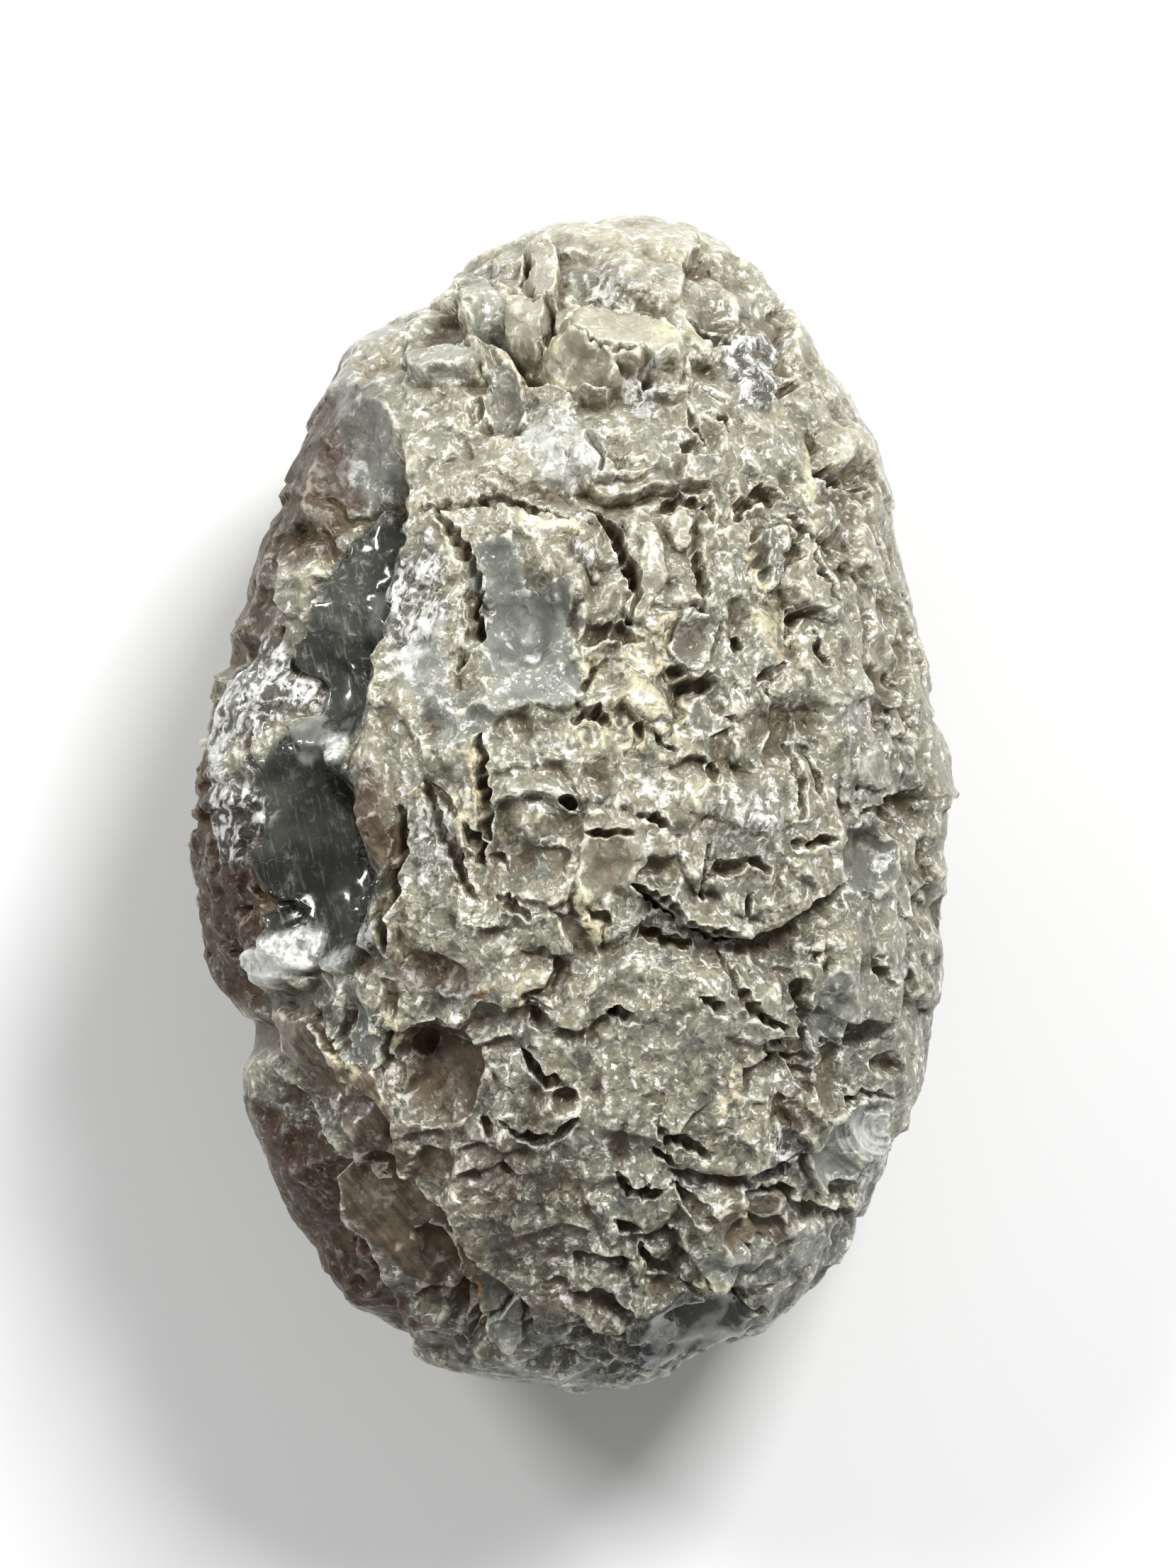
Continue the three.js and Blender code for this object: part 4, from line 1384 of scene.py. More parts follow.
@dataclass
class Nodule:
    """The stone, as one closed fine mesh that stands for the plain solid."""

    node: str = "obsidian_nodule"
    slot: str = "obsidian"
    name: str = "nodule_skin"
    start_level: int = 6
    splits: tuple[int, ...] = (11000, 14000, 18000, 21000, 23000)
    crown_favour: float = 0.8
    crown_band: Band = (-0.2, 0.4)
    even_share: float = 0.22
    sharpen: float = 0.7
    crisp_passes: int = 1
    soft_passes: int = 4
    broad_passes: int = 24
    threads: int = 4
    parts_a_thread: int = 4
    smoothness: dict[Finish, float] = field(
        default_factory=lambda: {
            Finish.GLASS: 1.0,
            Finish.SHEET: 0.8,
            Finish.HAZE: 0.8,
            Finish.WAX: 0.75,
            Finish.FLARE: 0.6,
            Finish.FROST: 0.4,
        }
    )
    body: Body = field(default_factory=Body)
    relief: Relief = field(default_factory=Relief)

    def place(self, directions: Points) -> Placed:
        """Put the skin in each direction from the middle, with the work shared between threads.

        Args:
            directions: Unit vectors, one a row.

        Returns:
            Where the skin lies.
        """
        with ThreadPoolExecutor(self.threads) as pool:
            shares = np.array_split(directions, self.threads * self.parts_a_thread)
            parts = list(pool.map(self.place_some, shares))
        covers = {finish: np.concatenate([part.covers[finish] for part in parts]) for finish in Finish}
        names = ("points", "outward", "rise")
        fields = [np.concatenate([getattr(part, name) for part in parts]) for name in names]
        return Placed(*fields, covers)

    def place_some(self, directions: Points) -> Placed:
        """Put the skin in some of the directions.

        Args:
            directions: Unit vectors, one a row.

        Returns:
            Where the skin lies.
        """
        base, outward = self.body.surface(directions)
        covers = self.relief.covers_at(base)
        smooth = np.max([share * covers[finish] for finish, share in self.smoothness.items()], axis=0)
        rise = self.relief.rise_at(base, smooth) * self.body.roughness_gate(base)
        return Placed(base + outward * rise[:, None], outward, rise, covers)

    def refine(self, ball: bmesh.types.BMesh) -> None:
        """Split the edges that miss the skin most, in rounds, so that rims and walls get most of them.

        Args:
            ball: The mesh, whose vertices lie in the directions from the middle.
        """
        for count in self.splits:
            ball.verts.ensure_lookup_table()
            ball.edges.ensure_lookup_table()
            directions = self.directions(ball)
            ends = self.ends(ball)
            placed = self.place(directions)
            start, end = placed.points[ends[:, 0]], placed.points[ends[:, 1]]
            middle = directions[ends].sum(axis=1)
            middle /= np.linalg.norm(middle, axis=1, keepdims=True)
            miss = np.linalg.norm(self.place(middle).points - (start + end) / 2, axis=1)
            score = miss + self.even_share * np.linalg.norm(end - start, axis=1)
            score *= 1.0 + self.crown_favour * smoothstep(*self.crown_band, placed.outward[ends[:, 0], 2])
            worst = np.argsort(score)[-count:]
            bmesh.ops.subdivide_edges(ball, edges=[ball.edges[int(i)] for i in worst], cuts=1)
            bmesh.ops.triangulate(ball, faces=[face for face in ball.faces if len(face.verts) > 3])
            ball.verts.index_update()
            ball.edges.index_update()

    def directions(self, ball: bmesh.types.BMesh) -> Points:
        """Give each vertex's direction from the middle."""
        places = np.array([vert.co for vert in ball.verts])
        return places / np.linalg.norm(places, axis=1, keepdims=True)

    def ends(self, ball: bmesh.types.BMesh) -> Points:
        """Give the numbers of each edge's two vertices."""
        return np.array([[vert.index for vert in edge.verts] for edge in ball.edges])

    def build(self) -> bpy.types.Object:
        """Make the stone's mesh and its attributes.

        Returns:
            The stone, standing for the plain solid.
        """
        ball = bmesh.new()
        bmesh.ops.create_icosphere(ball, subdivisions=self.start_level, radius=1.0)
        self.refine(ball)
        ball.verts.ensure_lookup_table()
        points, skin = self.finish_form(self.place(self.directions(ball)), self.ends(ball))
        for vert, point in zip(ball.verts, self.set_down(points) * MM):
            vert.co = point
        bmesh.ops.recalc_face_normals(ball, faces=ball.faces)
        mesh = bpy.data.meshes.new(self.name)
        ball.to_mesh(mesh)
        ball.free()
        mesh.shade_smooth()
        self.store(mesh, skin)
        stone = bpy.data.objects.new(self.name, mesh)
        bpy.context.scene.collection.objects.link(stone)
        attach(stone, "root")
        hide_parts(self.node)
        LOG.info("%s: %d faces", self.name, len(mesh.polygons))
        return stone

    def smoothed(self, values: Points, ends: Points, passes: int) -> Points:
        """Average each vertex's values with its neighbours', over and over.

        Args:
            values: One row a vertex.
            ends: The two vertices of each edge.
            passes: How many times.

        Returns:
            The averaged rows.
        """
        count = len(values)
        first, second = ends.T
        shared = np.bincount(first, minlength=count) + np.bincount(second, minlength=count)
        for _ in range(passes):
            total = np.zeros_like(values)
            for axis, column in enumerate(values.T):
                total[:, axis] = np.bincount(first, column[second], count)
                total[:, axis] += np.bincount(second, column[first], count)
            values = 0.5 * values + 0.5 * total / shared[:, None]
        return values

    def finish_form(self, placed: Placed, ends: Points) -> tuple[Points, Skin]:
        """Sharpen rims and the feet of ledges, and measure rims and hollows.

        Args:
            placed: Where the skin lies.
            ends: The two vertices of each edge.

        Returns:
            The sharpened points in mm, and what the material needs.
        """
        crisp = self.smoothed(placed.points, ends, self.crisp_passes)
        soft = self.smoothed(crisp, ends, self.soft_passes)
        points = placed.points + self.sharpen * (crisp - soft)
        fine = self.smoothed(points, ends, self.crisp_passes)
        near = self.smoothed(fine, ends, self.crisp_passes)
        broad = self.smoothed(fine, ends, self.broad_passes)
        edge = ((points - near) * placed.outward).sum(axis=1)
        hollow = ((broad - points) * placed.outward).sum(axis=1)
        return points, Skin(edge, hollow, -placed.rise, placed.covers)

    def set_down(self, points: Points) -> Points:
        """Press the underside to the flat and fit the stone to its real size, in mm.

        Args:
            points: The skin, in mm from the middle of the widest plan.

        Returns:
            The skin, in mm from the flat's middle.
        """
        points = points.copy()
        points[:, 2] = np.maximum(points[:, 2] + self.body.rest_depth, 0.0)
        low, high = points.min(axis=0), points.max(axis=0)
        size = np.array([self.body.width, self.body.length, self.body.height])
        points = (points - (low + high) / 2) * size / (high - low)
        points[:, 2] += self.body.height / 2
        return points

    def store(self, mesh: bpy.types.Mesh, skin: Skin) -> None:
        """Write the skin's values to the mesh as attributes.

        Args:
            mesh: The stone's mesh.
            skin: Its values, in the order of its vertices.
        """
        values = {"edge": skin.edge, "hollow": skin.hollow, "deep": skin.deep}
        values.update({finish.attribute: cover for finish, cover in skin.covers.items()})
        for name, column in values.items():
            attribute = mesh.attributes.new(name, "FLOAT", "POINT")
            attribute.data.foreach_set("value", column.astype(np.float32))


# ---- Finishes ----------------------------------------------------------------------------------------------


@dataclass
class Graph:
    """A material's node tree, with every node made by one method."""

    tree: bpy.types.NodeTree
    noise_roughness: float = 0.6

    def node(self, kind: str, settings: dict | None = None, **sockets: object) -> bpy.types.Node:
        """Add a node.

        Args:
            kind: The node's type, without its ShaderNode prefix.
            settings: What is set on the node before its sockets.
            sockets: Values or links for its inputs, by name with _ for a space, or by place, such as i0.

        Returns:
            The node.
        """
        made = self.tree.nodes.new("ShaderNode" + kind)
        for name, value in (settings or {}).items():
            setattr(made, name, value)
        for name, value in sockets.items():
            place = int(name[1:]) if name[0] == "i" and name[1:].isdigit() else name.replace("_", " ")
            self.feed(made.inputs[place], value)
        return made

    def feed(self, socket: bpy.types.NodeSocket, value: object) -> None:
        """Link a signal to a socket, or set the socket's own value."""
        if isinstance(value, Signal):
            self.tree.links.new(value.socket, socket)
        else:
            socket.default_value = value

    def signal(self, node: bpy.types.Node, output: str | int = 0) -> "Signal":
        """Wrap one of a node's outputs."""
        return Signal(self, node.outputs[output])

    def attribute(self, name: str) -> "Signal":
        """Read one of the mesh's attributes."""
        return self.signal(self.node("Attribute", {"attribute_name": name}), "Fac")

    def vector(self, operation: str, *inputs: object, output: str = "Vector") -> "Signal":
        """Add a Vector Math node on its inputs."""
        sockets = {f"i{number}": value for number, value in enumerate(inputs)}
        return self.signal(self.node("VectorMath", {"operation": operation}, **sockets), output)

    def noise(self, place: "Signal", scale: float, detail: float, output: str | int = 0) -> "Signal":
        """Read noise at a scale in forms a millimetre."""
        settings = {"Scale": scale, "Detail": detail, "Roughness": self.noise_roughness}
        return self.signal(self.node("TexNoise", None, Vector=place, **settings), output)

    def stretched(self, place: "Signal", turn: float, scale: Triple) -> "Signal":
        """Turn places about Z and scale them unevenly, so that noise read there runs in streaks."""
        node = self.node("VectorRotate", {"rotation_type": "Z_AXIS"}, Vector=place, Angle=math.radians(turn))
        return self.vector("MULTIPLY", self.signal(node), scale)

    def facets(self, place: "Signal", scale: float) -> "Signal":
        """Make small flat faces, each tilted its own way, at a scale in faces a millimetre.

        Args:
            place: Where to read it, in mm.
            scale: Faces a millimetre.

        Returns:
            Heights of the faces, about 0.
        """
        cells = self.node("TexVoronoi", {"feature": "F1"}, Vector=place, Scale=scale)
        offset = self.vector("SUBTRACT", place, self.signal(cells, "Position"))
        tilt = self.vector("SUBTRACT", self.signal(cells, "Color"), (0.5, 0.5, 0.5))
        return self.vector("DOT_PRODUCT", offset, tilt, output="Value")

    def rings(self, place: "Signal", middle: Triple, step: float, reach: Band) -> "Signal":
        """Make round ripples about an upright line, which die away over a reach.

        Args:
            place: Where to read it, in mm.
            middle: A point on the line, in mm.
            step: From one ripple to the next, in mm.
            reach: The radii over which they die away, in mm.

        Returns:
            Numbers from -1 to 1.
        """
        flat = self.vector("MULTIPLY", self.vector("SUBTRACT", place, middle), (1.0, 1.0, 0.0))
        radius = self.vector("LENGTH", flat, output="Value")
        wave = (radius * (2.0 * math.pi / step)).math("SINE")
        return wave * radius.ramp(0.0, step) * (1.0 - radius.ramp(*reach))

    def crackle(self, place: "Signal", scale: float, width: float) -> "Signal":
        """Draw thin lines between cells, at a scale in cells a millimetre and a half width in cells."""
        cells = self.node("TexVoronoi", {"feature": "DISTANCE_TO_EDGE"}, Vector=place, Scale=scale)
        return 1.0 - self.signal(cells, "Distance").ramp(0.0, width)

    def blend(self, first: object, second: object, share: "Signal") -> "Signal":
        """Blend two colours."""
        return self.signal(self.node("Mix", {"data_type": "RGBA"}, i0=share, i6=first, i7=second), 2)


@dataclass
class Signal:
    """A socket that can be used in sums."""

    graph: Graph
    socket: bpy.types.NodeSocket

    def math(self, operation: str, *others: object) -> "Signal":
        """Add a Math node with this signal first."""
        inputs = {f"i{number + 1}": value for number, value in enumerate(others)}
        return self.graph.signal(self.graph.node("Math", {"operation": operation}, i0=self, **inputs))

    def __add__(self, other: object) -> "Signal":
        """Add."""
        return self.math("ADD", other)

    def __radd__(self, other: object) -> "Signal":
        """Add, reflected."""
        return self.math("ADD", other)

    def __sub__(self, other: object) -> "Signal":
        """Subtract."""
        return self.math("SUBTRACT", other)

    def __rsub__(self, other: float) -> "Signal":
        """Subtract, reflected."""
        return self.graph.signal(self.graph.node("Math", {"operation": "SUBTRACT"}, i0=other, i1=self))

    def __mul__(self, other: object) -> "Signal":
        """Multiply."""
        return self.math("MULTIPLY", other)

    def __rmul__(self, other: object) -> "Signal":
        """Multiply, reflected."""
        return self.math("MULTIPLY", other)

    def ramp(self, start: float, end: float) -> "Signal":
        """Ease from 0 at start to 1 at end.

        Args:
            start: The value where the result leaves 0.
            end: The value where the result reaches 1.

        Returns:
            The eased signal.
        """
        settings = {"interpolation_type": "SMOOTHSTEP"}
        node = self.graph.node("MapRange", settings, Value=self, From_Min=start, From_Max=end)
        return self.graph.signal(node)

    def top(self, other: object) -> "Signal":
        """Take the larger of two signals."""
        return self.math("MAXIMUM", other)


@dataclass(frozen=True)
class Texture:
    """A noise: its forms a millimetre, its detail, whether it is bent, and how it is turned and stretched."""

    scale: float
    detail: float
    bent: bool = False
    turn: float = 0.0
    stretch: Triple | None = None


class Pattern(Enum):
    """The noises that colour and roughen the skin."""

    SLOW = Texture(0.22, 2.0)
    MOTTLE = Texture(0.4, 2.0)
    CLOUD = Texture(1.1, 2.0)
    GRAIN = Texture(3.2, 2.0)
    BLOTCH = Texture(2.0, 4.0, bent=True)
    STREAKS = Texture(1.0, 3.0, bent=True, turn=20.0, stretch=(2.2, 0.45, 1.0))
    SCRATCHES = Texture(1.0, 3.0, turn=-12.0, stretch=(5.0, 0.5, 2.0))
    FURROWS = Texture(1.0, 3.0, turn=50.0, stretch=(0.35, 3.0, 2.0))


Weights = tuple[tuple[Pattern, float], ...]
Holds = tuple[tuple[Finish, float], ...]


@dataclass
class Reading:
    """What the material reads at each place: covers, patterns, and how sharp, hollow and deep the form is."""

    graph: Graph
    in_mm: Signal
    bent: Signal
    cover: dict[Finish, Signal]
    pattern: dict[Pattern, Signal]
    edge: Signal
    hollow: Signal
    deep: Signal

    def mixed(self, weights: Weights) -> Signal:
        """Add patterns up by their weights."""
        return reduce(add, (weight * self.pattern[pattern] for pattern, weight in weights))

    def held_back(self, signal: Signal, holds: Holds) -> Signal:
        """Weaken a signal where finishes lie, by each one's share."""
        return reduce(mul, (1.0 - share * self.cover[finish] for finish, share in holds), signal)

    def off(self, finish: Finish) -> Signal:
        """Give 1 where a finish is missing and 0 where it is full."""
        return 1.0 - self.cover[finish]


Colour = tuple[float, float, float, float]


def srgb(red: int, green: int, blue: int) -> Colour:
    """Turn a colour in 0 to 255 steps into the linear values that the shader wants.

    Args:
        red: The red step.
        green: The green step.
        blue: The blue step.

    Returns:
        The linear colour.
    """
    steps = [value / 255.0 for value in (red, green, blue)]
    linear = [step / 12.92 if step <= 0.04045 else ((step + 0.055) / 1.055) ** 2.4 for step in steps]
    return (linear[0], linear[1], linear[2], 1.0)


@dataclass(frozen=True)
class VolcanicGlass:
    """The stone's finish: gritty olive-grey skin, dark glass, cream rims, frosted crests and brown patches.

    A band holds the readings between which a layer eases in, and a share is how much of it shows at most.
    A mix weighs patterns, and holds say how much each finish keeps a layer back. Shade is painted into
    hollows, deep places, the lower end and part of the brown, and highlights are painted as glints, frost
    streaks, flares, ripple crests and part of the rims' lightness.
    """

    skin_dark: Colour = srgb(88, 88, 77)
    skin_mid: Colour = srgb(143, 140, 119)
    skin_light: Colour = srgb(187, 182, 157)
    glass_dark: Colour = srgb(34, 36, 31)
    glass_light: Colour = srgb(74, 76, 68)
    cool: Colour = srgb(132, 135, 127)
    haze_dark: Colour = srgb(110, 113, 106)
    haze_light: Colour = srgb(154, 157, 149)
    sheet_dark: Colour = srgb(74, 61, 45)
    sheet_light: Colour = srgb(130, 116, 94)
    frost_dark: Colour = srgb(74, 73, 66)
    # Near-white colour of the highlights painted on ripple crests and flare spots.
    flare: Colour = srgb(234, 236, 230)
    wax: Colour = srgb(166, 163, 143)
    # Colours of the shade painted into hollows.
    warm_hollow_shade: Colour = srgb(116, 99, 70)
    hollow_shade_colour: Colour = srgb(90, 76, 54)
    cream: Colour = srgb(232, 220, 184)
    # Pale rims, partly a painted highlight on convex edges.
    rim_pale_and_sheen: Colour = srgb(234, 230, 211)
    brown: Colour = srgb(66, 40, 18)
    rust: Colour = srgb(184, 138, 78)
    vein: Colour = srgb(214, 211, 196)
    # The colour of painted highlights: glints and frost streaks.
    painted_glint: Colour = srgb(250, 249, 244)

    bend: float = 0.9
    bend_texture: Texture = Texture(1.1, 1.0)
    haze_smooth: float = 0.6

    tone_mix: Weights = ((Pattern.MOTTLE, 0.35), (Pattern.CLOUD, 0.3), (Pattern.GRAIN, 0.2))
    tone_lift: float = 0.06
    # Painted shade darkens the skin where it lies deep or hollow, and a painted light falloff makes it
    # lighter towards the top and darker towards the bottom.
    usual_depth: float = 1.0
    shade_by_depth: float = 0.04
    shade_by_hollow: float = 0.12
    light_falloff_by_length: float = 0.0021
    mid_band: Band = (0.36, 0.50)
    light_band: Band = (0.49, 0.63)
    cool_band: Band = (0.46, 0.60)
    cool_share: float = 0.3

    glass_band: Band = (0.38, 0.62)
    scratch_band: Band = (0.54, 0.72)
    scratch_share: float = 0.4
    haze_band: Band = (0.35, 0.65)
    haze_share: float = 0.85
    sheet_mix: Weights = ((Pattern.FURROWS, 0.6), (Pattern.CLOUD, 0.4))
    sheet_band: Band = (0.4, 0.6)
    sheet_share: float = 0.9
    wax_share: float = 0.6
    even_mix: Weights = ((Pattern.MOTTLE, 0.5), (Pattern.CLOUD, 0.5))
    brown_and_shade_band: Band = (0.20, 0.46)
    brown_share: float = 0.95
    rust_band: Band = (0.36, 0.52)
    rust_share: float = 0.8

    vein_scale: float = 0.8
    vein_width: float = 0.036
    vein_band: Band = (0.44, 0.60)
    vein_share: float = 0.6
    vein_smooth_hold: float = 0.8
    vein_holds: Holds = ((Finish.BROWN, 0.8),)
    frost_share: float = 0.85

    # Painted shade: a warm tint in shallow hollows, and a darker colour in hollows and deep places.
    warm_shade_band: Band = (0.0, 0.25)
    warm_shade_share: float = 0.45
    hollow_band: Band = (0.12, 0.6)
    hollow_share: float = 0.7
    deep_band: Band = (1.6, 3.4)
    deep_share: float = 0.35
    shade_hold: float = 0.85

    # Rims on convex edges are lightened: partly their own pale colour, partly a painted highlight.
    rim_edge: Band = (0.04, 0.10)
    rim_mix: Weights = ((Pattern.GRAIN, 0.4), (Pattern.CLOUD, 0.6))
    rim_band: Band = (0.34, 0.54)
    rim_holds: Holds = ((Finish.FROST, 0.6), (Finish.BROWN, 0.7))
    rim_share: float = 0.75
    cream_edge: Band = (-0.02, 0.10)
    cream_by_edge: float = 0.25
    cream_band: Band = (0.45, 0.60)
    cream_hollow: Band = (0.1, 0.4)
    cream_hold: float = 0.7

    # Glints and frost streaks are painted highlights, laid on as near-white base colour.
    crowd_band: Band = (0.44, 0.58)
    crowd_by_frost: float = 0.4
    raised_band: Band = (0.0, 0.25)
    raised_holds: Holds = (
        (Finish.GLASS, 0.85),
        (Finish.HAZE, 0.5),
        (Finish.BROWN, 0.8),
        (Finish.SHEET, 0.8),
        (Finish.WAX, 0.6),
    )
    glint_band: Band = (0.56, 0.59)
    lone_glints: float = 0.15
    white_mix: Weights = ((Pattern.STREAKS, 0.6), (Pattern.BLOTCH, 0.2), (Pattern.CLOUD, 0.2))
    white_band: Band = (0.48, 0.57)
    white_share: float = 0.95
    painted_glint_share: float = 0.9

    # Painted highlights on the fan's ripple crests and on the flare spots.
    fan: Triple = (17.2, -17.8, 0.0)
    fan_step: float = 0.5
    fan_reach: Band = (2.28, 3.8)
    ripple_highlight_share: float = 0.35
    gleam_mix: Weights = ((Pattern.STREAKS, 0.5), (Pattern.GRAIN, 0.5))
    gleam_band: Band = (0.40, 0.55)
    gleam_least: float = 0.45

    roughness: float = 0.34
    shine_by_smooth: float = 0.18
    shine_by_white: float = 0.14
    dull_by_hollow: float = 0.2
    dull_band: Band = (0.0, 0.4)
    dull_by_brown_and_shade: float = 0.35
    coat: float = 0.25
    coat_by_crowd: float = 0.2
    coat_by_glass: float = 0.35
    coat_holds: Holds = ((Finish.BROWN, 0.8),)
    coat_roughness: float = 0.12
    glow: float = 0.25
    glow_colour: Triple = (1.0, 0.9, 0.65)
    glow_reach: float = 0.7
    ior: float = 1.5

    broad_facets: float = 1.5
    broad_height: float = 0.7
    fine_facets: float = 3.4
    fine_height: float = 0.25
    fine_by_crowd: float = 0.65
    grit_mix: Weights = ((Pattern.CLOUD, 0.12), (Pattern.GRAIN, 0.03))
    rugged_holds: Holds = (
        (Finish.GLASS, 0.95),
        (Finish.HAZE, 0.5),
        (Finish.SHEET, 0.8),
        (Finish.FLARE, 0.6),
        (Finish.WAX, 0.6),
    )
    frost_height: float = 0.30
    furrow_height: float = 0.10
    ripple_height: float = 0.035

    def material(self) -> bpy.types.Material:
        """Build the material.

        Returns:
            The material, which reads Object coordinates and the mesh's attributes.
        """
        made = bpy.data.materials.new("volcanic_glass")
        made.use_nodes = True
        made.node_tree.nodes.clear()
        graph = Graph(made.node_tree)
        seen = self.read(graph)
        smooth = seen.cover[Finish.GLASS].top(seen.cover[Finish.HAZE] * self.haze_smooth)
        even = seen.mixed(self.even_mix)
        crowd = even.ramp(*self.crowd_band) + seen.cover[Finish.FROST] * self.crowd_by_frost
        # Brown patches, partly their own colour and partly painted shade.
        brown_and_shade = seen.cover[Finish.BROWN] * even.ramp(*self.brown_and_shade_band) * seen.off(Finish.GLASS)
        white = self.white(seen, crowd)
        ripples = seen.cover[Finish.HAZE] * graph.rings(seen.in_mm, self.fan, self.fan_step, self.fan_reach)
        colour = self.covered(seen, self.skin(seen), brown_and_shade)
        colour = self.hollowed(seen, self.veined(seen, colour, smooth))
        # Painted highlights: glints and frost streaks.
        colour = graph.blend(self.rimmed(seen, colour), self.painted_glint, white * self.painted_glint_share)
        colour = self.lit(seen, colour, ripples)
        shine = self.roughness - self.shine_by_smooth * smooth - self.shine_by_white * white
        shine = shine + self.dull_by_hollow * seen.hollow.ramp(*self.dull_band) + self.dull_by_brown_and_shade * brown_and_shade
        coat = self.coat + self.coat_by_crowd * crowd + self.coat_by_glass * seen.cover[Finish.GLASS]
        bump = graph.node("Bump", None, Height=self.height(seen, crowd, ripples), Strength=1.0, Distance=MM)
        shader = graph.node(
            "BsdfPrincipled",
            None,
            Base_Color=colour,
            Roughness=shine,
            IOR=self.ior,
            Normal=graph.signal(bump),
            Coat_Weight=seen.held_back(coat, self.coat_holds),
            Coat_Roughness=self.coat_roughness,
            Subsurface_Weight=self.glow,
            Subsurface_Radius=self.glow_colour,
            Subsurface_Scale=self.glow_reach * MM,
        )
        out = graph.node("OutputMaterial")
        graph.feed(out.inputs["Surface"], graph.signal(shader))
        return made

    def read(self, graph: Graph) -> Reading:
        """Read the mesh's attributes and the patterns.

        Args:
            graph: The material's nodes.

        Returns:
            What the layers are made from.
        """
        place = graph.signal(graph.node("TexCoord"), "Object")
        in_mm = graph.signal(graph.node("VectorMath", {"operation": "SCALE"}, i0=place, Scale=1.0 / MM))
        push = graph.noise(in_mm, self.bend_texture.scale, self.bend_texture.detail, "Color")
        bent = graph.vector("MULTIPLY_ADD", push, (self.bend,) * 3, in_mm)
        cover = {finish: graph.attribute(finish.attribute) for finish in Finish}
        pattern = {}
        for kind in Pattern:
            texture = kind.value
            spot = bent if texture.bent else in_mm
            spot = graph.stretched(spot, texture.turn, texture.stretch) if texture.stretch else spot
            pattern[kind] = graph.noise(spot, texture.scale, texture.detail)
        edge, hollow, deep = (graph.attribute(name) for name in ("edge", "hollow", "deep"))
        return Reading(graph, in_mm, bent, cover, pattern, edge, hollow, deep)

    def skin(self, seen: Reading) -> Signal:
        """Colour the bare skin: painted shade where it lies low, a painted light falloff downwards, and
        cooler broad patches.

        Args:
            seen: What the material reads.

        Returns:
            The colour.
        """
        along = seen.graph.signal(seen.graph.node("SeparateXYZ", None, Vector=seen.in_mm), "Y")
        tone = seen.mixed(self.tone_mix) + self.tone_lift
        # Painted shade in deep and hollow places, and a painted light falloff along the length.
        tone = tone - self.shade_by_depth * (seen.deep - self.usual_depth)
        tone = tone - self.shade_by_hollow * seen.hollow + self.light_falloff_by_length * along
        colour = seen.graph.blend(self.skin_dark, self.skin_mid, tone.ramp(*self.mid_band))
        colour = seen.graph.blend(colour, self.skin_light, tone.ramp(*self.light_band))
        cooler = seen.pattern[Pattern.SLOW].ramp(*self.cool_band)
        return seen.graph.blend(colour, self.cool, cooler * self.cool_share)

    def covered(self, seen: Reading, colour: Signal, brown_and_shade: Signal) -> Signal:
        """Lay scratched glass, haze, furrowed sheets, wax, brown and rust over the skin; the brown is partly
        painted shade.

        Args:
            seen: What the material reads.
            colour: The colour so far.
            brown_and_shade: How strongly the brown, partly painted shade, covers each place.

        Returns:
            The colour with these layers.
        """
        blend, cover, pattern = seen.graph.blend, seen.cover, seen.pattern
        glass = blend(self.glass_dark, self.glass_light, pattern[Pattern.SLOW].ramp(*self.glass_band))
        scratches = pattern[Pattern.SCRATCHES].ramp(*self.scratch_band) * self.scratch_share
        colour = blend(colour, blend(glass, self.haze_light, scratches), cover[Finish.GLASS])
        haze = blend(self.haze_dark, self.haze_light, pattern[Pattern.MOTTLE].ramp(*self.haze_band))
        colour = blend(colour, haze, cover[Finish.HAZE] * self.haze_share)
        sheet = blend(self.sheet_dark, self.sheet_light, seen.mixed(self.sheet_mix).ramp(*self.sheet_band))
        colour = blend(colour, sheet, cover[Finish.SHEET] * self.sheet_share)
        colour = blend(colour, self.wax, cover[Finish.WAX] * self.wax_share)
        colour = blend(colour, self.brown, brown_and_shade * self.brown_share)
        rust = cover[Finish.RUST] * pattern[Pattern.CLOUD].ramp(*self.rust_band) * self.rust_share
        return blend(colour, self.rust, rust)

    def veined(self, seen: Reading, colour: Signal, smooth: Signal) -> Signal:
        """Draw pale veins on the rough skin, and darken the ground of the frost.

        Args:
            seen: What the material reads.
            colour: The colour so far.
            smooth: How smooth each place is.

        Returns:
            The colour with these layers.
        """
        veins = seen.graph.crackle(seen.bent, self.vein_scale, self.vein_width)
        clear = seen.held_back(1.0 - self.vein_smooth_hold * smooth, self.vein_holds) * seen.off(Finish.SHEET)
        veins = veins * seen.pattern[Pattern.CLOUD].ramp(*self.vein_band) * clear * self.vein_share
        colour = seen.graph.blend(colour, self.vein, veins)
        return seen.graph.blend(colour, self.frost_dark, seen.cover[Finish.FROST] * self.frost_share)

    def hollowed(self, seen: Reading, colour: Signal) -> Signal:
        """Paint warm shade into shallow hollows and darker shade into deep ones, but not on glass and haze.

        Args:
            seen: What the material reads.
            colour: The colour so far.

        Returns:
            The colour with these layers.
        """
        bare = seen.off(Finish.GLASS) * seen.off(Finish.HAZE)
        # Warm painted shade in shallow hollows.
        warm_hollow_shade = seen.hollow.ramp(*self.warm_shade_band) * self.warm_shade_share * bare
        colour = seen.graph.blend(colour, self.warm_hollow_shade, warm_hollow_shade)
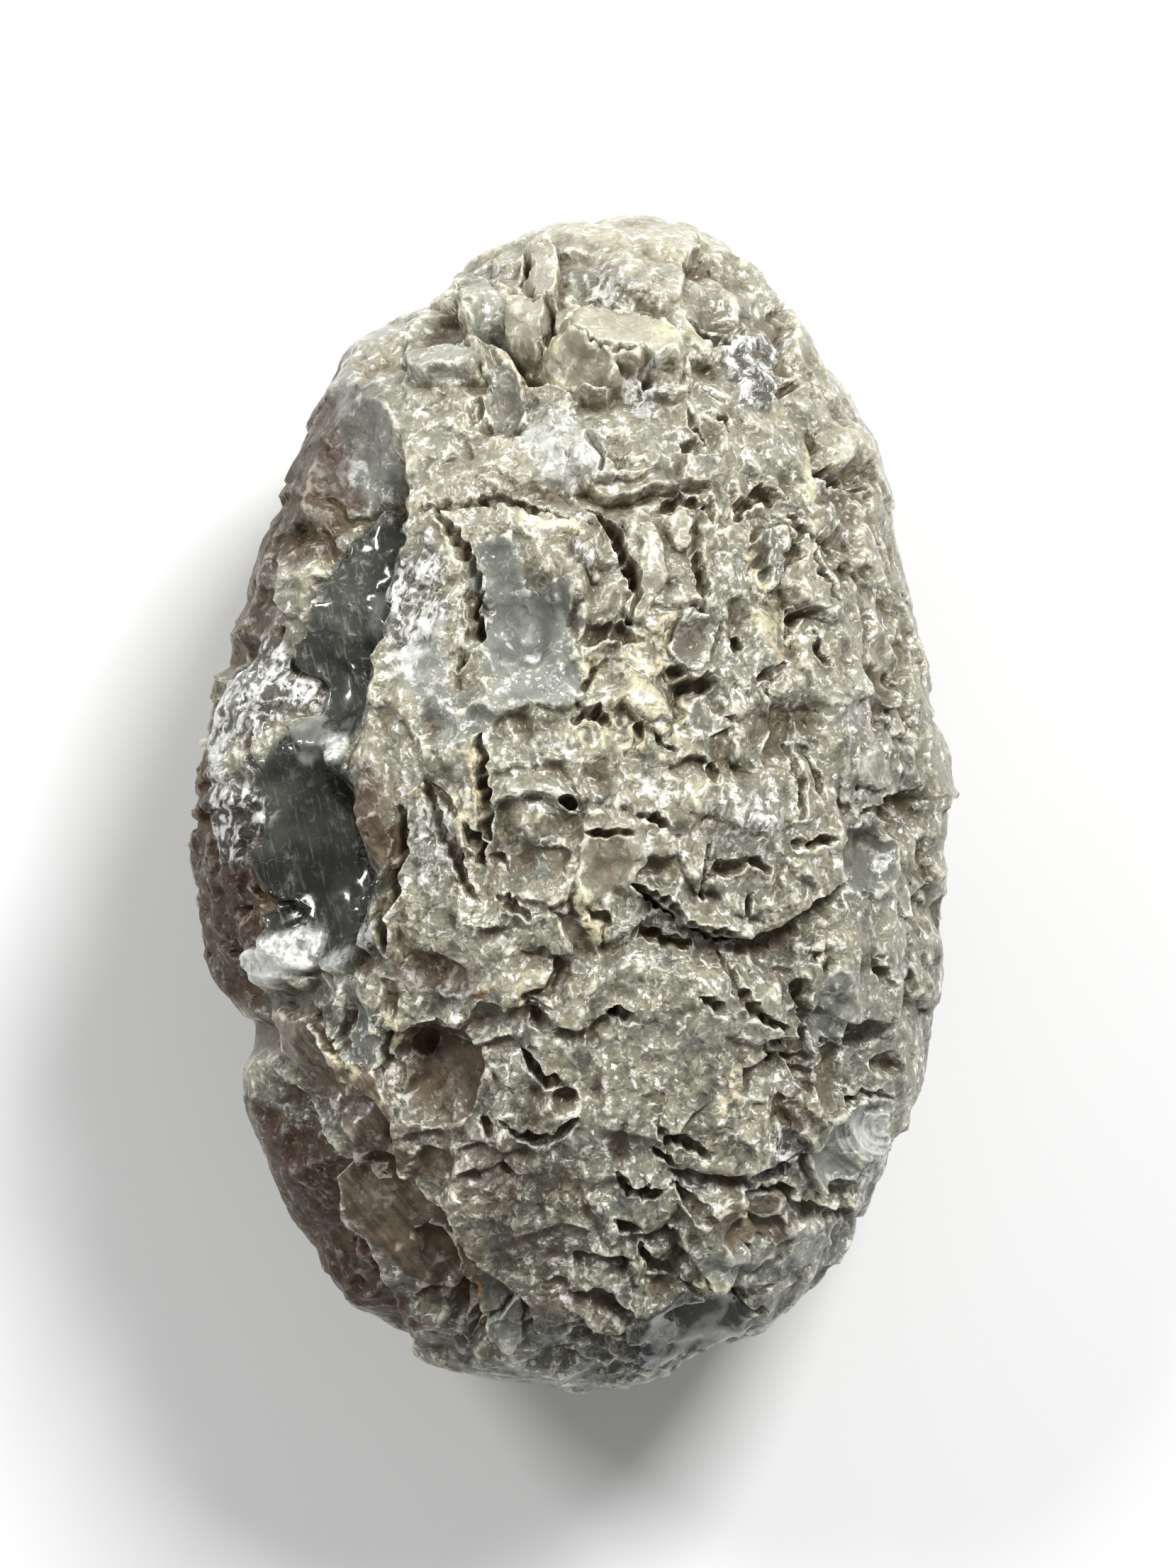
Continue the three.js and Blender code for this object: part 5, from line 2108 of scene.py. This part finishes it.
        # Darker painted shade in hollows and deep places.
        shade = seen.hollow.ramp(*self.hollow_band) * self.hollow_share
        shade = shade.top(seen.deep.ramp(*self.deep_band) * self.deep_share)
        glassy = seen.cover[Finish.GLASS].top(seen.cover[Finish.HAZE])
        return seen.graph.blend(colour, self.hollow_shade_colour, shade * (1.0 - self.shade_hold * glassy))

    def rimmed(self, seen: Reading, colour: Signal) -> Signal:
        """Lighten broken rims, partly their pale colour and partly painted highlight, and lay cream spots.

        Args:
            seen: What the material reads.
            colour: The colour so far.

        Returns:
            The colour with these layers.
        """
        rims = seen.edge.ramp(*self.rim_edge) * seen.mixed(self.rim_mix).ramp(*self.rim_band)
        rims = seen.held_back(rims * seen.off(Finish.GLASS), self.rim_holds)
        colour = seen.graph.blend(colour, self.rim_pale_and_sheen, rims * self.rim_share)
        spots = seen.mixed(self.rim_mix) + seen.edge.ramp(*self.cream_edge) * self.cream_by_edge
        spots = seen.cover[Finish.CREAM] * spots.ramp(*self.cream_band)
        spots = spots * (1.0 - self.cream_hold * seen.hollow.ramp(*self.cream_hollow))
        return seen.graph.blend(colour, self.cream, spots)

    def white(self, seen: Reading, crowd: Signal) -> Signal:
        """Say where highlights are painted: glints on the raised skin, and pale streaks on the frost.

        Args:
            seen: What the material reads.
            crowd: How crowded the glints are.

        Returns:
            Whiteness from 0 to 1.
        """
        raised = seen.held_back(1.0 - seen.hollow.ramp(*self.raised_band), self.raised_holds)
        glints = seen.pattern[Pattern.BLOTCH].ramp(*self.glint_band) * raised
        glints = (glints * (self.lone_glints + (1.0 - self.lone_glints) * crowd)).math("MINIMUM", 1.0)
        frost = seen.cover[Finish.FROST] * seen.mixed(self.white_mix).ramp(*self.white_band)
        return glints.top(frost * self.white_share)

    def lit(self, seen: Reading, colour: Signal, ripples: Signal) -> Signal:
        """Paint highlights on the crests of the fan's ripples and on the flare spots that gleam.

        Args:
            seen: What the material reads.
            colour: The colour so far.
            ripples: The fan's ripples.

        Returns:
            The colour with these layers.
        """
        colour = seen.graph.blend(colour, self.flare, ripples.ramp(0.0, 1.0) * self.ripple_highlight_share)
        streaks = seen.mixed(self.gleam_mix).ramp(*self.gleam_band)
        gleam = seen.cover[Finish.FLARE] * (self.gleam_least + (1.0 - self.gleam_least) * streaks)
        return seen.graph.blend(colour, self.flare, gleam)

    def height(self, seen: Reading, crowd: Signal, ripples: Signal) -> Signal:
        """Give the height of the finest relief, in mm: facets and grit, frost, furrows and ripples.

        Args:
            seen: What the material reads.
            crowd: How crowded the glints are.
            ripples: The fan's ripples.

        Returns:
            The height.
        """
        fine = self.fine_height + self.fine_by_crowd * crowd
        facets = seen.graph.facets(seen.bent, self.broad_facets) * self.broad_height
        facets = facets + seen.graph.facets(seen.bent, self.fine_facets) * fine
        height = seen.held_back(facets + seen.mixed(self.grit_mix), self.rugged_holds)
        height = height + self.frost_height * seen.cover[Finish.FROST] * seen.pattern[Pattern.STREAKS]
        height = height + self.furrow_height * seen.cover[Finish.SHEET] * seen.pattern[Pattern.FURROWS]
        return height + self.ripple_height * ripples


# ---- Studio ------------------------------------------------------------------------------------------------


@dataclass(frozen=True)
class SoftLight:
    """A square area light that faces the stone, in metres and watts."""

    name: str
    place: Triple
    side: float
    watts: float


@dataclass
class Studio:
    """A pale floor, soft lights and the camera that looks straight down. Its frame is measured in pixels."""

    frame_height: int = 2212
    pixels_a_mm: float = 25.0
    target: Triple = (0.8, 1.16, 15.1)
    camera_height: float = 500.0
    sensor: float = 36.0
    nearest: float = 0.01
    floor_side: float = 3.0
    floor_colour: Colour = (0.92, 0.92, 0.92, 1.0)
    floor_roughness: float = 0.9
    room_colour: Colour = (1.0, 1.0, 1.0, 1.0)
    room_light: float = 0.30
    lights: tuple[SoftLight, ...] = (
        SoftLight("key", (0.19, 0.27, 0.37), 0.15, 2.5),
        SoftLight("left", (-0.27, 0.20, 0.34), 0.10, 0.9),
    )

    def build(self) -> None:
        """Add the floor, lights, world and camera."""
        self.add_floor()
        for light in self.lights:
            self.add_light(light)
        world = bpy.data.worlds.new("pale_room")
        world.use_nodes = True
        world.node_tree.nodes["Background"].inputs["Color"].default_value = self.room_colour
        world.node_tree.nodes["Background"].inputs["Strength"].default_value = self.room_light
        bpy.context.scene.world = world
        self.add_camera()

    def add_floor(self) -> None:
        """Add the pale floor under the stone."""
        sheet = bmesh.new()
        bmesh.ops.create_grid(sheet, x_segments=1, y_segments=1, size=self.floor_side / 2)
        mesh = bpy.data.meshes.new("floor")
        sheet.to_mesh(mesh)
        sheet.free()
        floor = bpy.data.objects.new("floor", mesh)
        bpy.context.scene.collection.objects.link(floor)
        pale = bpy.data.materials.new("pale_floor")
        pale.use_nodes = True
        shader = pale.node_tree.nodes["Principled BSDF"]
        shader.inputs["Base Color"].default_value = self.floor_colour
        shader.inputs["Roughness"].default_value = self.floor_roughness
        mesh.materials.append(pale)

    def add_light(self, light: SoftLight) -> None:
        """Add one area light, turned to the stone.

        Args:
            light: The light's name, place, size and power.
        """
        data = bpy.data.lights.new(light.name, "AREA")
        data.shape = "SQUARE"
        data.size = light.side
        data.energy = light.watts
        lamp = bpy.data.objects.new(light.name, data)
        lamp.location = light.place
        lamp.rotation_euler = lamp.location.to_track_quat("Z", "Y").to_euler()
        bpy.context.scene.collection.objects.link(lamp)

    def add_camera(self) -> None:
        """Add the camera over the stone, with +Y up in its frame."""
        data = bpy.data.cameras.new("camera")
        data.sensor_width = self.sensor
        data.lens = self.sensor * self.camera_height * self.pixels_a_mm / self.frame_height
        data.clip_start = self.nearest
        camera = bpy.data.objects.new("camera", data)
        across, along, up = self.target
        camera.location = (across * MM, along * MM, (up + self.camera_height) * MM)
        bpy.context.scene.collection.objects.link(camera)
        bpy.context.scene.camera = camera


def main() -> None:
    """Build the studio and the stone, and note the sizes."""
    logging.basicConfig(level=logging.INFO, format="%(name)s: %(message)s")
    bpy.context.scene.view_settings.view_transform = "Standard"
    Studio().build()
    for region in REGIONS:
        LOG.info("%s: %d marks, %d patches", region.name, len(region.marks), len(region.patches))
    stone = Nodule().build()
    stone.data.materials.append(VolcanicGlass().material())


if __name__ == "__main__":
    main()
